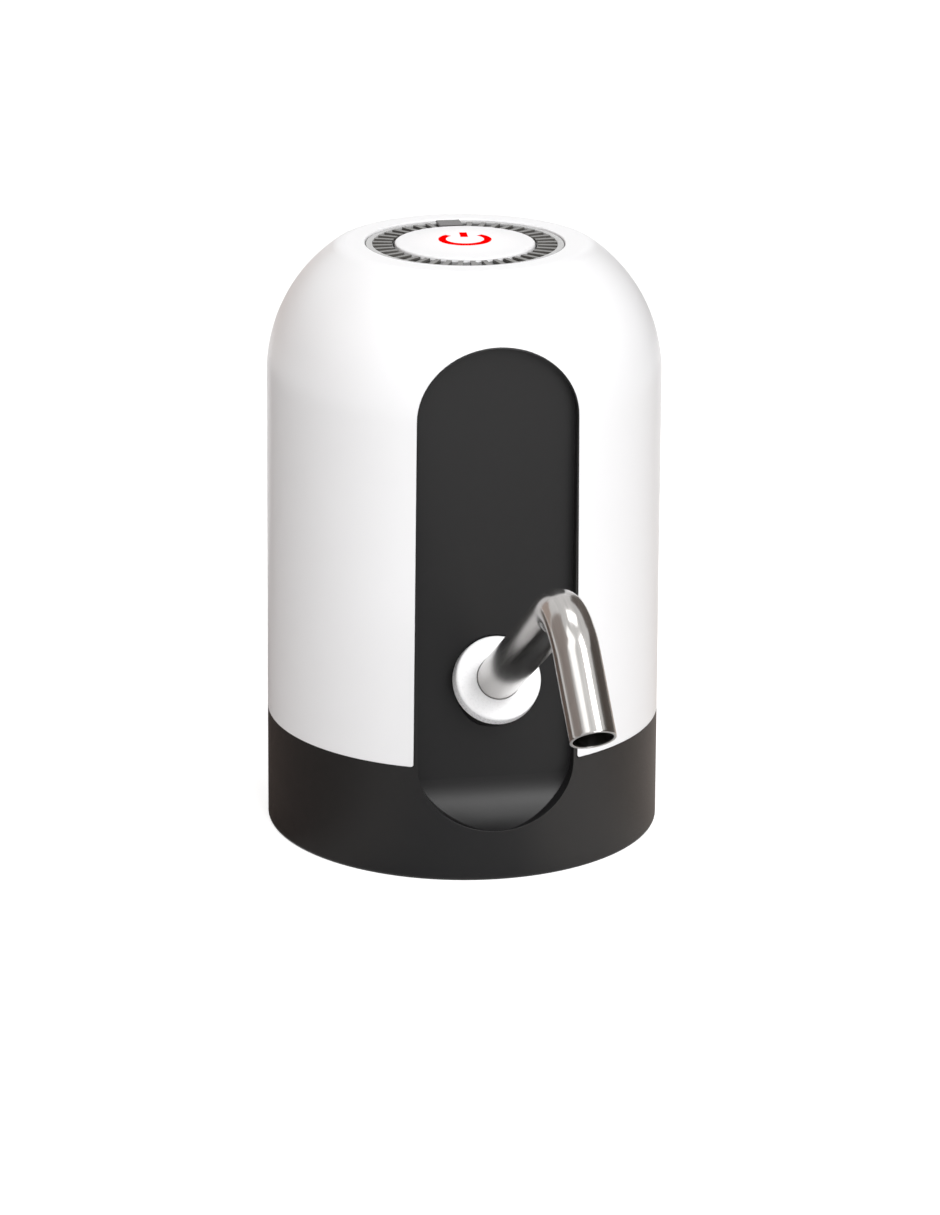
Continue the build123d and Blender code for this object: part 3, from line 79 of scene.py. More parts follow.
def surface(material, **values):
    """Gives a material's own shader its inputs, named in small letters with underscores."""
    shader = material.node_tree.nodes["Principled BSDF"]
    labels = {label.lower().replace(" ", "_"): label for label in shader.inputs.keys()}
    feed(shader, {labels[key]: value for key, value in values.items()})


def shaded(colour, share):
    """A colour times a share, with full opacity."""
    return (*[channel * share for channel in colour], 1)


def moulded(name, colour, roughness, grain=0.35, depth=0.004, drift=0.03, edge=0.2):
    """Moulded plastic or rubber: faint cloudy colour, uneven gloss, a fine grain and softened edges."""
    material, add = new_finish(name)
    place = add("TexCoord").outputs["Object"]
    cloud = add("TexNoise", {"Vector": place, "Scale": CLOUD_SCALE, "Detail": 3})
    grit = add("TexNoise", {"Vector": place, "Scale": 1 / (grain * MM), "Detail": 2}).outputs["Fac"]
    tint = add("MixRGB", {"Fac": cloud.outputs["Fac"], "Color1": shaded(colour, 1 - drift),
                          "Color2": shaded(colour, 1 + drift)})
    gloss = add("MapRange", {"Value": grit, "To Min": roughness * (1 - GLOSS_SPREAD),
                             "To Max": roughness * (1 + GLOSS_SPREAD)})
    rounding = add("Bevel", {"Radius": edge * MM}, samples=EDGE_SAMPLES)
    bump = add("Bump", {"Strength": GRAIN_STRENGTH, "Distance": depth * MM, "Height": grit,
                        "Normal": rounding.outputs["Normal"]})
    surface(material, base_color=tint.outputs["Color"], roughness=gloss.outputs["Result"],
            normal=bump.outputs["Normal"])
    return material


def finish_nodes(material, *names):
    """Gives CAD nodes a finish."""
    for name in names:
        nodes[name].data.materials.clear()
        nodes[name].data.materials.append(material)


dark_abs = moulded("dark_abs", (0.0095, 0.0093, 0.0097), 0.42, grain=0.25, depth=0.003, drift=0.06)
surface(dark_abs, specular_ior_level=0.35)
finish_nodes(dark_abs, "base_body")

# Neck seal and inlet grommet. Moulded silicone: the seal's two soft lips grip the bottle's neck, and
# the grommet is squeezed between the deck and the pump. Both have rounded edges.
DECK_UNDER = 19.63
DECK_TOP = 22.03
SEAL_OUTER = 29.25
SEAL_BORE = 27.65
SEAL_LOW = 9.65
SEAL_FLANGE_BORE = 22.65
SEAL_FLANGE_LOW = 18.13
SEAL_LIP_PLACES = (15.3, 12.47)
SEAL_LIP_REACH = 0.8
SEAL_LIP_HALF = 1.0
SEAL_SOFTNESS = 0.35
GROMMET_BORE = 4.6
GROMMET_NECK = 6.025
GROMMET_LIP = 6.925
GROMMET_LIP_LOW = 18.63
GROMMET_FLANGE = 7.825
GROMMET_TOP = 23.95
GROMMET_SOFTNESS = 0.25
ON_AXIS = 1e-6
SAME_POINT = 1e-7
CORNER_STEPS = 4
CORNER_REACH_SHARE = 0.45


def in_scene(name, data):
    """A new object in the scene."""
    thing = bpy.data.objects.new(name, data)
    bpy.context.scene.collection.objects.link(thing)
    return thing


def own_piece(mesh, material, body, slot, *replaced):
    """Puts a finished mesh into the scene, on its body and in place of its CAD nodes."""
    piece = in_scene(mesh.name, mesh)
    if material is not None:
        mesh.materials.clear()
        mesh.materials.append(material)
    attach(piece, body)
    if replaced:
        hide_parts(*replaced)


def softened(corners, radius):
    """Closed outline of (r, z) corners with each corner rounded, except those on the axis."""
    outline = []
    for index, corner in enumerate(corners):
        here = Vector(corner)
        if here.x < ON_AXIS:
            outline.append(tuple(here))
            continue
        before = Vector(corners[index - 1]) - here
        after = Vector(corners[(index + 1) % len(corners)]) - here
        reach = min(radius, before.length * CORNER_REACH_SHARE, after.length * CORNER_REACH_SHARE)
        start = here + before.normalized() * reach
        end = here + after.normalized() * reach
        for step in range(CORNER_STEPS + 1):
            t = step / CORNER_STEPS
            outline.append(tuple(start * (1 - t) ** 2 + here * 2 * t * (1 - t) + end * t ** 2))
    return outline


def turned(name, outline, place=Matrix.Identity(4), segments=128):
    """Mesh of a closed (r, z) outline in millimetres, turned about Z and then placed."""
    work = bmesh.new()
    loop = [work.verts.new((r * MM, 0, z * MM)) for r, z in outline]
    edges = []
    for index, point in enumerate(outline):
        following = (index + 1) % len(outline)
        if point[0] > ON_AXIS or outline[following][0] > ON_AXIS:
            edges.append(work.edges.new((loop[index], loop[following])))
    bmesh.ops.spin(work, geom=loop + edges, cent=(0, 0, 0), axis=(0, 0, 1), angle=tau, steps=segments)
    bmesh.ops.remove_doubles(work, verts=work.verts, dist=SAME_POINT)
    bmesh.ops.recalc_face_normals(work, faces=work.faces)
    work.transform(place)
    mesh = bpy.data.meshes.new(name)
    work.to_mesh(mesh)
    work.free()
    mesh.polygons.foreach_set("use_smooth", [True] * len(mesh.polygons))
    return mesh


silicone = moulded("silicone", (0.70, 0.70, 0.68), 0.48, grain=0.6, depth=0.002, drift=0.04)
surface(silicone, subsurface_weight=0.15, subsurface_scale=0.002)
seal_outline = [(SEAL_OUTER, SEAL_LOW), (SEAL_OUTER, DECK_UNDER), (SEAL_FLANGE_BORE, DECK_UNDER),
                (SEAL_FLANGE_BORE, SEAL_FLANGE_LOW), (SEAL_BORE, SEAL_FLANGE_LOW)]
for lip in SEAL_LIP_PLACES:
    seal_outline += [(SEAL_BORE, lip + SEAL_LIP_HALF), (SEAL_BORE - SEAL_LIP_REACH, lip),
                     (SEAL_BORE, lip - SEAL_LIP_HALF)]
seal_outline.append((SEAL_BORE, SEAL_LOW))
own_piece(turned("neck_seal_ring", softened(seal_outline, SEAL_SOFTNESS)), silicone, "housing", "silicone",
          "neck_seal")
grommet_outline = [(GROMMET_BORE, GROMMET_LIP_LOW), (GROMMET_LIP, GROMMET_LIP_LOW), (GROMMET_LIP, DECK_UNDER),
                   (GROMMET_NECK, DECK_UNDER), (GROMMET_NECK, DECK_TOP), (GROMMET_FLANGE, DECK_TOP),
                   (GROMMET_FLANGE, GROMMET_TOP), (GROMMET_BORE, GROMMET_TOP)]
own_piece(turned("inlet_grommet_ring", softened(grommet_outline, GROMMET_SOFTNESS)), silicone, "housing",
          "silicone", "inlet_grommet")
finish_nodes(silicone, "pump_gasket", "shaft_seal", "outlet_hose", "spout_o_ring")

# Gear pump. Natural white nylon housing and cover with acetal gears on a ground steel pin, closed by
# four plated pan head screws with a rolled thread and a cross recess.
M2 = (1.0, 1.9, 1.3)
M25 = (1.25, 2.3, 1.6)
HEAD_DOWN = (pi, 0, 0)
HEAD_UP = (0, 0, 0)
HEAD_BACK = (-pi / 2, 0, 0)
TIP_SHARE = 0.5
TIP_LENGTH = 0.5
THREAD_ROOT_SHARE = 0.82
THREAD_PITCH = 0.8
THREAD_START = 0.6
CREST_SHARE = 0.4
RIDGE_SHARE = 0.8
PLAIN_LENGTH = 1.4
NECK_SHARE = 0.98
NECK_LENGTH = 0.2
HEAD_SHARES = ((0.97, 0), (1, 0.12), (1, 0.45), (0.93, 0.75), (0.78, 0.93), (0.55, 1), (0, 1))
SLOT_LENGTH_SHARE = 1.15
SLOT_WIDTH_SHARE = 0.26
SLOT_DEPTH_SHARE = 0.6
CRISP_ANGLE = 0.6
PUMP_SCREW_PLACES = [(x, y, 25.25) for x in (-11.8, 11.8) for y in (-11, 2)]


def bare_metal(name, colour, roughness, scratch=0.8):
    """Plain metal with fine scratches and uneven gloss."""
    material, add = new_finish(name)
    place = add("TexCoord").outputs["Object"]
    haze = add("TexNoise", {"Vector": place, "Scale": 1 / (scratch * MM), "Detail": 4}).outputs["Fac"]
    tint = add("MixRGB", {"Fac": haze, "Color1": shaded(colour, 0.92), "Color2": shaded(colour, 1)})
    gloss = add("MapRange", {"Value": haze, "To Min": roughness * 0.75, "To Max": roughness * 1.25})
    surface(material, base_color=tint.outputs["Color"], roughness=gloss.outputs["Result"], metallic=1.0)
    return material


class GrowthTree:
    """A Geometry Nodes tree with a geometry input and output and named inputs."""

    def __init__(self, name, **sockets):
        self.group = bpy.data.node_groups.new(name, "GeometryNodeTree")
        sides = self.group.interface
        sides.new_socket("Geometry", in_out="INPUT", socket_type="NodeSocketGeometry")
        sides.new_socket("Geometry", in_out="OUTPUT", socket_type="NodeSocketGeometry")
        for label, kind in sockets.items():
            sides.new_socket(label.replace("_", " ").title(), in_out="INPUT", socket_type="NodeSocket" + kind)
        self.given = self.group.nodes.new("NodeGroupInput").outputs
        self.add = node_adder(self.group, "GeometryNode")

    def work_out(self, operation, *values, **settings):
        """The result of a sum."""
        inputs = dict(enumerate(values))
        return self.add("Math", inputs, family="ShaderNode", operation=operation, **settings).outputs[0]

    def vector(self, x=0.0, y=0.0, z=0.0):
        """A vector of three numbers or results."""
        return self.add("CombineXYZ", {"X": x, "Y": y, "Z": z}, family="ShaderNode").outputs[0]

    def compare(self, kind, operation, inputs):
        """Whether a comparison of two inputs, given by their places, is true."""
        node = self.add("Compare", inputs, family="FunctionNode", data_type=kind, operation=operation)
        return node.outputs[0]

    def captured(self, geometry, kind, name, value):
        """A node that keeps a value on a curve's points, for use once the curve has become a skin."""
        node = self.add("CaptureAttribute", domain="POINT")
        node.capture_items.new(kind, name)
        feed(node, {"Geometry": geometry, name: value})
        return node

    def end(self, geometry, finish):
        """Sends real geometry with its finish to the output."""
        real = self.add("RealizeInstances", {0: geometry})
        painted = self.add("SetMaterial", {"Geometry": real.outputs[0], "Material": finish})
        feed(self.group.nodes.new("NodeGroupOutput"), {0: painted.outputs[0]})


def plain_mesh(holder, name):
    """What an object's modifiers make of it, as a plain mesh under a name. The object itself is removed."""
    mesh = bpy.data.meshes.new_from_object(holder.evaluated_get(bpy.context.evaluated_depsgraph_get()))
    bpy.data.objects.remove(holder)
    mesh.name = name
    return mesh


def grown(name, tree, inputs, start=None):
    """Runs a tree on a starting mesh, or on an empty one, and gives back the result as a plain mesh."""
    holder = in_scene(name, start or bpy.data.meshes.new("seed"))
    modifier = holder.modifiers.new("tree", "NODES")
    modifier.node_group = tree.group
    for item in tree.group.interface.items_tree:
        if item.in_out == "INPUT" and item.name in inputs:
            modifier[item.identifier] = inputs[item.name]
    return plain_mesh(holder, name)


screw_tree = GrowthTree("cross_head_screws", blank="Object", slot_length="Float", slot_width="Float",
                        slot_depth="Float", head_height="Float", turn="Vector", screw_finish="Material")
add, given = screw_tree.add, screw_tree.given
blank = add("ObjectInfo", {"Object": given["Blank"]})
slot_deep = screw_tree.work_out("MULTIPLY", given["Slot Depth"], 2.0)
slot_size = screw_tree.vector(given["Slot Length"], given["Slot Width"], slot_deep)
slot_block = add("MeshCube", {"Size": slot_size})
one_slot = add("Transform", {"Geometry": slot_block.outputs["Mesh"],
                             "Translation": screw_tree.vector(z=given["Head Height"])})
other_slot = add("Transform", {"Geometry": one_slot.outputs[0], "Rotation": (0, 0, pi / 2)})
cross = add("MeshBoolean", {"Mesh 2": [one_slot.outputs[0], other_slot.outputs[0]]}, operation="UNION")
cut = add("MeshBoolean", {"Mesh 1": blank.outputs["Geometry"], "Mesh 2": cross.outputs["Mesh"]},
          operation="DIFFERENCE")
fold = add("InputMeshEdgeAngle").outputs[0]
steep = screw_tree.compare("FLOAT", "GREATER_THAN", {0: fold, 1: CRISP_ANGLE})
round_faces = add("SetShadeSmooth", {"Geometry": cut.outputs["Mesh"]})
crisp_edges = add("SetShadeSmooth", {"Geometry": round_faces.outputs[0], "Selection": steep,
                                     "Shade Smooth": False}, domain="EDGE")
placed_screws = add("InstanceOnPoints", {"Points": given["Geometry"], "Instance": crisp_edges.outputs[0],
                                         "Rotation": given["Turn"]})
screw_tree.end(placed_screws.outputs[0], given["Screw Finish"])


def screws(node, size, grip, turn, places):
    """Pan head screws with a rolled thread and a cross recess, in place of a node's plain ones."""
    shank, head, height = size
    outline = [(0, -grip), (shank * TIP_SHARE, -grip), (shank * THREAD_ROOT_SHARE, -grip + TIP_LENGTH)]
    for ridge in range(int((grip - PLAIN_LENGTH) / THREAD_PITCH)):
        foot = -grip + THREAD_START + ridge * THREAD_PITCH
        outline += [(shank * THREAD_ROOT_SHARE, foot), (shank, foot + THREAD_PITCH * CREST_SHARE),
                    (shank * THREAD_ROOT_SHARE, foot + THREAD_PITCH * RIDGE_SHARE)]
    outline += [(shank * NECK_SHARE, -NECK_LENGTH), (shank, 0)]
    outline += [(head * across, height * up) for across, up in HEAD_SHARES]
    blank_mesh = turned(node + "_blank", outline, segments=32)
    holder = in_scene(blank_mesh.name, blank_mesh)
    spots = bpy.data.meshes.new(node + "_spots")
    spots.from_pydata([Vector(place) * MM for place in places], [], [])
    made = grown(node.replace("_screws", "_cross_screws"), screw_tree, {
        "Blank": holder, "Head Height": height * MM, "Slot Length": head * SLOT_LENGTH_SHARE * MM,
        "Slot Width": head * SLOT_WIDTH_SHARE * MM, "Slot Depth": height * SLOT_DEPTH_SHARE * MM,
        "Turn": turn, "Screw Finish": plated_steel}, spots)
    bpy.data.objects.remove(holder)
    own_piece(made, None, "housing", "steel", node)


nylon = moulded("nylon", (0.58, 0.58, 0.55), 0.5, grain=0.5, depth=0.004)
acetal = moulded("acetal", (0.80, 0.80, 0.77), 0.3, grain=0.4, depth=0.002)
plated_steel = bare_metal("plated_steel", (0.56, 0.56, 0.57), 0.3)
finish_nodes(nylon, "pump_cover", "pump_housing", "outlet_fitting")
finish_nodes(acetal, "drive_gear", "driven_gear")
finish_nodes(plated_steel, "idler_pin")
screws("pump_screws", M2, grip=14.72, turn=HEAD_DOWN, places=PUMP_SCREW_PLACES)

# Motor and chassis. Drawn steel can, moulded end cap, bronze bushes, ferrite magnets and a copper
# wound rotor. Two screws hold the motor on a black chassis plate, which carries the posts of the
# control board, and three hold the plate on the base.
MOTOR_SCREW_PLACES = [(5, -12.5, 38.05), (5, 3.5, 38.05)]
CHASSIS_SCREW_PLACES = [(23.29, 5.81, 40.05), (-22.55, -8.21, 40.05), (6.21, 23.18, 40.05)]
bronze = bare_metal("sintered_bronze", (0.58, 0.38, 0.19), 0.5, scratch=0.3)
copper = bare_metal("enamelled_copper", (0.72, 0.29, 0.13), 0.28)
ferrite = moulded("ferrite", (0.055, 0.055, 0.058), 0.6)
carbon = moulded("carbon", (0.02, 0.02, 0.02), 0.7)
black_nylon = moulded("black_nylon", (0.03, 0.03, 0.032), 0.5, grain=0.5, depth=0.004)
finish_nodes(plated_steel, "motor_can", "motor_shaft", "rotor_core")
finish_nodes(bronze, "motor_bushes")
finish_nodes(copper, "rotor_windings", "commutator")
finish_nodes(ferrite, "motor_magnets")
finish_nodes(carbon, "motor_brushes")
finish_nodes(black_nylon, "motor_end_cap", "chassis", "battery_cradle", "button_retainer")
screws("motor_screws", M25, grip=4.2, turn=HEAD_DOWN, places=MOTOR_SCREW_PLACES)
screws("chassis_screws", M25, grip=9.0, turn=HEAD_UP, places=CHASSIS_SCREW_PLACES)

# Battery, boards and lights. A plain blue sleeved lithium cell with nickel strips, green laminate
# boards with black components, a plated charging socket and clear lamps. Two screws hold the
# control board on the chassis.
BOARD_SCREW_PLACES = [(-8.5, 31.5, 60.55), (8.5, 31.5, 60.55)]
cell_sleeve = moulded("cell_sleeve", (0.03, 0.13, 0.38), 0.3, grain=2.0)
laminate = moulded("laminate", (0.012, 0.11, 0.04), 0.35, grain=1.2)
component = moulded("component", (0.02, 0.02, 0.021), 0.5)
lamp = moulded("lamp", (0.80, 0.80, 0.74), 0.2)
finish_nodes(cell_sleeve, "battery_cell")
finish_nodes(plated_steel, "battery_tabs", "usb_socket")
screws("board_screws", M2, grip=4.2, turn=HEAD_BACK, places=BOARD_SCREW_PLACES)
finish_nodes(laminate, "control_board", "button_board")
finish_nodes(component, "board_components", "tact_switch", "switch_plunger")
finish_nodes(lamp, "charge_led", "ring_leds")

# Outer shell. A white gloss ABS bell, 2 mm thick, that drops over the works and is held by four
# screws from below. The front slot lets the dark tongue through.
SHELL_SCREW_PLACES = [(-33.4, 0, 19.63), (33.4, 0, 19.63), (16.7, 28.92, 19.63), (-16.7, 28.92, 19.63)]
white_abs = moulded("white_abs", (0.83, 0.83, 0.84), 0.30, grain=0.4, depth=0.002, drift=0.012)
finish_nodes(white_abs, "outer_shell")
screws("shell_screws", M2, grip=10.4, turn=HEAD_DOWN, places=SHELL_SCREW_PLACES)

# Light ring. Clear polycarbonate moulding in the shell's flat top: a plain polished rim, a sunk floor
# with radial ribs, and a key at the back that stops it turning. It is held from below by the
# retainer, which three screws fix to the shell.
RING_TOP = 112.40
RING_FLOOR = 112.00
RING_UNDER = 109.48
RING_RADIUS = 18.47
RING_INNER = 17.2
RING_BORE = 13.35
RING_FLANGE = 20.42
RIM_SINK = 0.1
RIM_SOFTNESS = 0.2
FLOOR_OVERLAP = 0.3
FLOOR_SOFTNESS = 0.1
GUIDE_LOW = 105.24
GUIDE_WALL = 2.0
SHELL_CEILING = 110.68
RIB_COUNT = 40
RIB_WIDTH = 1.0
RIB_START_GAP = 0.25
RIB_END_OVERLAP = 0.1
RIB_SINK = 0.05
RIB_DROP = 0.02
KEY_WIDTH = 4.6
KEY_LENGTH = 4.7
KEY_MIDDLE = 15.95
KEY_TOP = 112.60
KEY_SOFTNESS = 0.12
RETAINER_SCREW_PLACES = [(-20.44, -11.8, 101.24), (20.44, -11.8, 101.24), (0, 23.6, 101.24)]


def clear_finish(name, colour, roughness):
    """Clear polycarbonate drawn as opaque plastic, its colour painted shade: the tone that the shaded inside
    gives it from behind.
    """
    return moulded(name, colour, roughness, grain=0.8, depth=0.002, edge=0.05)


# Painted shade: the rim, floor, ribs and key carry the tones of the shaded inside seen through the clear
# plastic, lightest on the rim.
ring_clear = clear_finish("ring_clear", (0.42, 0.42, 0.42), 0.12)
ring_shade = clear_finish("ring_shade", (0.018, 0.017, 0.016), 0.2)
rib_clear = clear_finish("rib_clear", (0.10, 0.096, 0.09), 0.16)
key_clear = clear_finish("key_clear", (0.06, 0.058, 0.056), 0.25)
for dark_tone in (ring_shade, rib_clear, key_clear):
    surface(dark_tone, specular_ior_level=0.25)

rib_tree = GrowthTree("ring_ribs", count="Int", inner="Float", outer="Float", width="Float", floor="Float",
                      top="Float", rib_finish="Material")
add, given = rib_tree.add, rib_tree.given
half_step = rib_tree.work_out("ADD", add("InputIndex").outputs[0], 0.5)
turn_share = rib_tree.work_out("DIVIDE", half_step, given["Count"])
spin = rib_tree.vector(z=rib_tree.work_out("MULTIPLY", turn_share, tau))
rib_length = rib_tree.work_out("SUBTRACT", given["Outer"], given["Inner"])
rib_height = rib_tree.work_out("SUBTRACT", given["Top"], given["Floor"])
middle_out = rib_tree.work_out("MULTIPLY_ADD", rib_length, 0.5, given["Inner"])
middle_up = rib_tree.work_out("MULTIPLY_ADD", rib_height, 0.5, given["Floor"])
rib_block = add("MeshCube", {"Size": rib_tree.vector(rib_length, given["Width"], rib_height)})
one_rib = add("Transform", {"Geometry": rib_block.outputs["Mesh"],
                            "Translation": rib_tree.vector(middle_out, 0.0, middle_up)})
centres = add("Points", {"Count": given["Count"]})
placed_ribs = add("InstanceOnPoints", {"Points": centres.outputs[0], "Instance": one_rib.outputs[0],
                                       "Rotation": spin})
rib_tree.end(placed_ribs.outputs[0], given["Rib Finish"])

rib_mesh = grown("light_ring_ribs", rib_tree, {
    "Count": RIB_COUNT, "Width": RIB_WIDTH * MM, "Rib Finish": rib_clear,
    "Inner": (RING_BORE + RIB_START_GAP) * MM, "Outer": (RING_INNER + RIB_END_OVERLAP) * MM,
    "Floor": (RING_FLOOR - RIB_SINK) * MM, "Top": (RING_TOP - RIB_DROP) * MM})
own_piece(rib_mesh, None, "housing", "clear_ring", "light_ring")
rim_outline = [(RING_INNER, RING_FLOOR - RIM_SINK), (RING_INNER, RING_TOP), (RING_RADIUS, RING_TOP),
               (RING_RADIUS, SHELL_CEILING), (RING_FLANGE, SHELL_CEILING), (RING_FLANGE, RING_UNDER),
               (RING_INNER, RING_UNDER)]
own_piece(turned("light_ring_rim", softened(rim_outline, RIM_SOFTNESS)), ring_clear, "housing", "clear_ring",
          "light_ring")
floor_edge = RING_INNER + FLOOR_OVERLAP
guide_bore = RING_INNER - GUIDE_WALL
floor_outline = [(RING_BORE, RING_UNDER), (RING_BORE, RING_FLOOR), (floor_edge, RING_FLOOR),
                 (floor_edge, RING_UNDER), (RING_INNER, RING_UNDER), (RING_INNER, GUIDE_LOW),
                 (guide_bore, GUIDE_LOW), (guide_bore, RING_UNDER)]
own_piece(turned("light_ring_floor", softened(floor_outline, FLOOR_SOFTNESS)), ring_shade, "housing",
          "clear_ring", "light_ring")

key_work = bmesh.new()
bmesh.ops.create_cube(key_work, size=1)
for vertex in key_work.verts:
    vertex.co = (vertex.co.x * KEY_WIDTH, KEY_MIDDLE + vertex.co.y * KEY_LENGTH,
                 (RING_FLOOR + KEY_TOP) / 2 + vertex.co.z * (KEY_TOP - RING_FLOOR))
bmesh.ops.bevel(key_work, geom=key_work.edges, offset=KEY_SOFTNESS, segments=2, affect="EDGES")
key_work.transform(Matrix.Scale(MM, 4))
key_mesh = bpy.data.meshes.new("light_ring_key")
key_work.to_mesh(key_mesh)
key_work.free()
own_piece(key_mesh, key_clear, "housing", "clear_ring", "light_ring")
screws("retainer_screws", M2, grip=7.0, turn=HEAD_DOWN, places=RETAINER_SCREW_PLACES)

# Power button. White ABS disc with a faint crown and a soft edge, and the generic power sign printed
# on it in red, its light from below painted as a glow. A skirt guides it, and a stem works the switch below.
BUTTON_RADIUS = 13.09
BUTTON_RIM = 112.64
BUTTON_CROWN = 0.585
BUTTON_UNDER = 111.14
BUTTON_EDGE = ((0, 0.35), (0.06, 0.16), (0.18, 0.04))
BUTTON_SOFTNESS = 0.15
CROWN_SHARES = (0.97, 0.93, 0.85, 0.75, 0.65, 0.55, 0.45, 0.35, 0.25, 0.15, 0.07)
CROWN_SINK = 0.02
SKIRT_BORE = 11.89
SKIRT_LOW = 108.43
SKIRT_FLANGE = 14.29
SKIRT_FLANGE_TOP = 109.43
BUTTON_WALL_LOW = 109.5
STEM_RADIUS = 2.0
STEM_LOW = 108.34
STEM_HIGH = 111.3
GLOW_START = 4.0
GLOW_END = 11.0
GLOW_STRENGTH = 0.09
SIGN_OUTER = 4.95
SIGN_STROKE = 1.4
SIGN_GAP = radians(43)
SIGN_TURN = radians(-6)
SIGN_LIFT = 0.012
SIGN_STEPS = 64
BAR_LOW = 1.5
BAR_STEP = 0.8
BAR_ROWS = 6
STROKE_SHARES = (-1, -0.92, -0.6, 0, 0.6, 0.92, 1)
crown_radius = (BUTTON_RADIUS ** 2 + BUTTON_CROWN ** 2) / (2 * BUTTON_CROWN)


def button_height(radius):
    """Height of the button's crown at a radius."""
    return BUTTON_RIM + BUTTON_CROWN - crown_radius + sqrt(crown_radius ** 2 - radius ** 2)


def sign_strip(work, rows):
    """Adds a raised strip through rows of (x, y) pairs, drawn on the button's crown."""
    top, under = [[[work.verts.new((x * MM, y * MM, (button_height(sqrt(x * x + y * y)) + lift) * MM))
                    for x, y in row] for row in rows] for lift in (SIGN_LIFT, -SIGN_LIFT)]
    last = len(rows) - 1
    wide = len(rows[0]) - 1
    for i in range(last):
        for j in range(wide):
            work.faces.new((top[i][j], top[i + 1][j], top[i + 1][j + 1], top[i][j + 1]))
            work.faces.new((under[i][j], under[i][j + 1], under[i + 1][j + 1], under[i + 1][j]))
    border = [(i, 0) for i in range(last)] + [(last, j) for j in range(wide)]
    border += [(i, wide) for i in range(last, 0, -1)] + [(0, j) for j in range(wide, 0, -1)]
    for (i, j), (next_i, next_j) in zip(border, border[1:] + border[:1]):
        work.faces.new((top[i][j], under[i][j], under[next_i][next_j], top[next_i][next_j]))


white_button = moulded("white_button", (0.82, 0.82, 0.83), 0.25, grain=0.4, depth=0.001, drift=0.01,
                       edge=0.05)
# Painted glow: the white plastic gives off a faint pinkish light round its middle, fading outwards, for the
# sign's light through it.
add = node_adder(white_button.node_tree, "ShaderNode")
flat = add("VectorMath", {0: add("TexCoord").outputs["Object"], 1: (1, 1, 0)}, operation="MULTIPLY")
reach = add("VectorMath", {0: flat.outputs["Vector"]}, operation="LENGTH")
fade = add("MapRange", {"Value": reach.outputs["Value"], "From Min": GLOW_START * MM,
                        "From Max": GLOW_END * MM, "To Min": GLOW_STRENGTH, "To Max": 0.0})
surface(white_button, emission_strength=fade.outputs["Result"], emission_color=(1.0, 0.80, 0.77, 1))

skirt_outline = softened([(0, BUTTON_UNDER), (SKIRT_BORE, BUTTON_UNDER), (SKIRT_BORE, SKIRT_LOW),
                          (SKIRT_FLANGE, SKIRT_LOW), (SKIRT_FLANGE, SKIRT_FLANGE_TOP),
                          (BUTTON_RADIUS, SKIRT_FLANGE_TOP)], BUTTON_SOFTNESS)
button_outline = skirt_outline[:-(CORNER_STEPS + 1)]    # the inner corner of the flange stays sharp
button_outline.append((BUTTON_RADIUS, BUTTON_WALL_LOW))
button_outline += [(BUTTON_RADIUS - inset, BUTTON_RIM - drop) for inset, drop in BUTTON_EDGE]
button_outline += [(BUTTON_RADIUS * share, button_height(BUTTON_RADIUS * share) - CROWN_SINK * share)
                   for share in CROWN_SHARES]
button_outline.append((0, button_height(0)))
own_piece(turned("power_button_cap", button_outline), white_button, "button", "white_shell", "power_button")
stem_outline = softened([(0, STEM_LOW), (STEM_RADIUS, STEM_LOW), (STEM_RADIUS, STEM_HIGH), (0, STEM_HIGH)],
                        BUTTON_SOFTNESS)
own_piece(turned("power_button_stem", stem_outline, segments=48), white_button, "button", "white_shell",
          "power_button")

# The red print is painted with a glow of its own, for the light behind the sign.
red_print = moulded("red_print", (0.30, 0.0, 0.0), 0.4, grain=0.5, depth=0.001)
surface(red_print, specular_ior_level=0.0, emission_color=(1.0, 0.0, 0.0, 1), emission_strength=0.8)
sign = bmesh.new()
half_stroke = SIGN_STROKE / 2
arc_rows = []
for step in range(SIGN_STEPS + 1):
    angle = pi / 2 + SIGN_GAP + (tau - 2 * SIGN_GAP) * step / SIGN_STEPS
    radii = [SIGN_OUTER - half_stroke + share * half_stroke for share in STROKE_SHARES]
    arc_rows.append([(radius * cos(angle), radius * sin(angle)) for radius in radii])
sign_strip(sign, arc_rows)
sign_strip(sign, [[(-share * half_stroke, BAR_LOW + row * BAR_STEP) for share in STROKE_SHARES]
                  for row in range(BAR_ROWS)])
bmesh.ops.recalc_face_normals(sign, faces=sign.faces)
sign.transform(Matrix.Rotation(SIGN_TURN, 4, "Z"))
sign_mesh = bpy.data.meshes.new("power_sign")
sign.to_mesh(sign_mesh)
sign.free()
own_piece(sign_mesh, red_print, "button", "white_shell")

# Spout collar. White ABS disc with a rounded front edge, pressed over the tube's root into the
# inclined boss. A register on its back centres it there.
ROOT = Vector((0, -36.3, 39.4)) * MM
RISE = radians(30)
COLLAR_BORE = 4.04
COLLAR_RADIUS = 7.9
COLLAR_BACK_RADIUS = 8.1
COLLAR_BACK = -3.4
REGISTER_RADIUS = 6.4
REGISTER_BACK = -4.4
COLLAR_SOFTNESS = 0.2
COLLAR_FRONT_EDGE = [(7.93, -0.75), (7.92, -0.5), (7.87, -0.28), (7.75, -0.12), (7.58, -0.02), (7.4, 0)]
root_direction = Vector((0, -cos(RISE), sin(RISE)))
x_axis = Vector((1, 0, 0))
root_axes = Matrix((x_axis, root_direction.cross(x_axis), root_direction)).transposed().to_4x4()
white_collar = moulded("white_collar", (0.91, 0.91, 0.92), 0.28, grain=0.4, depth=0.001, drift=0.01,
                       edge=0.05)
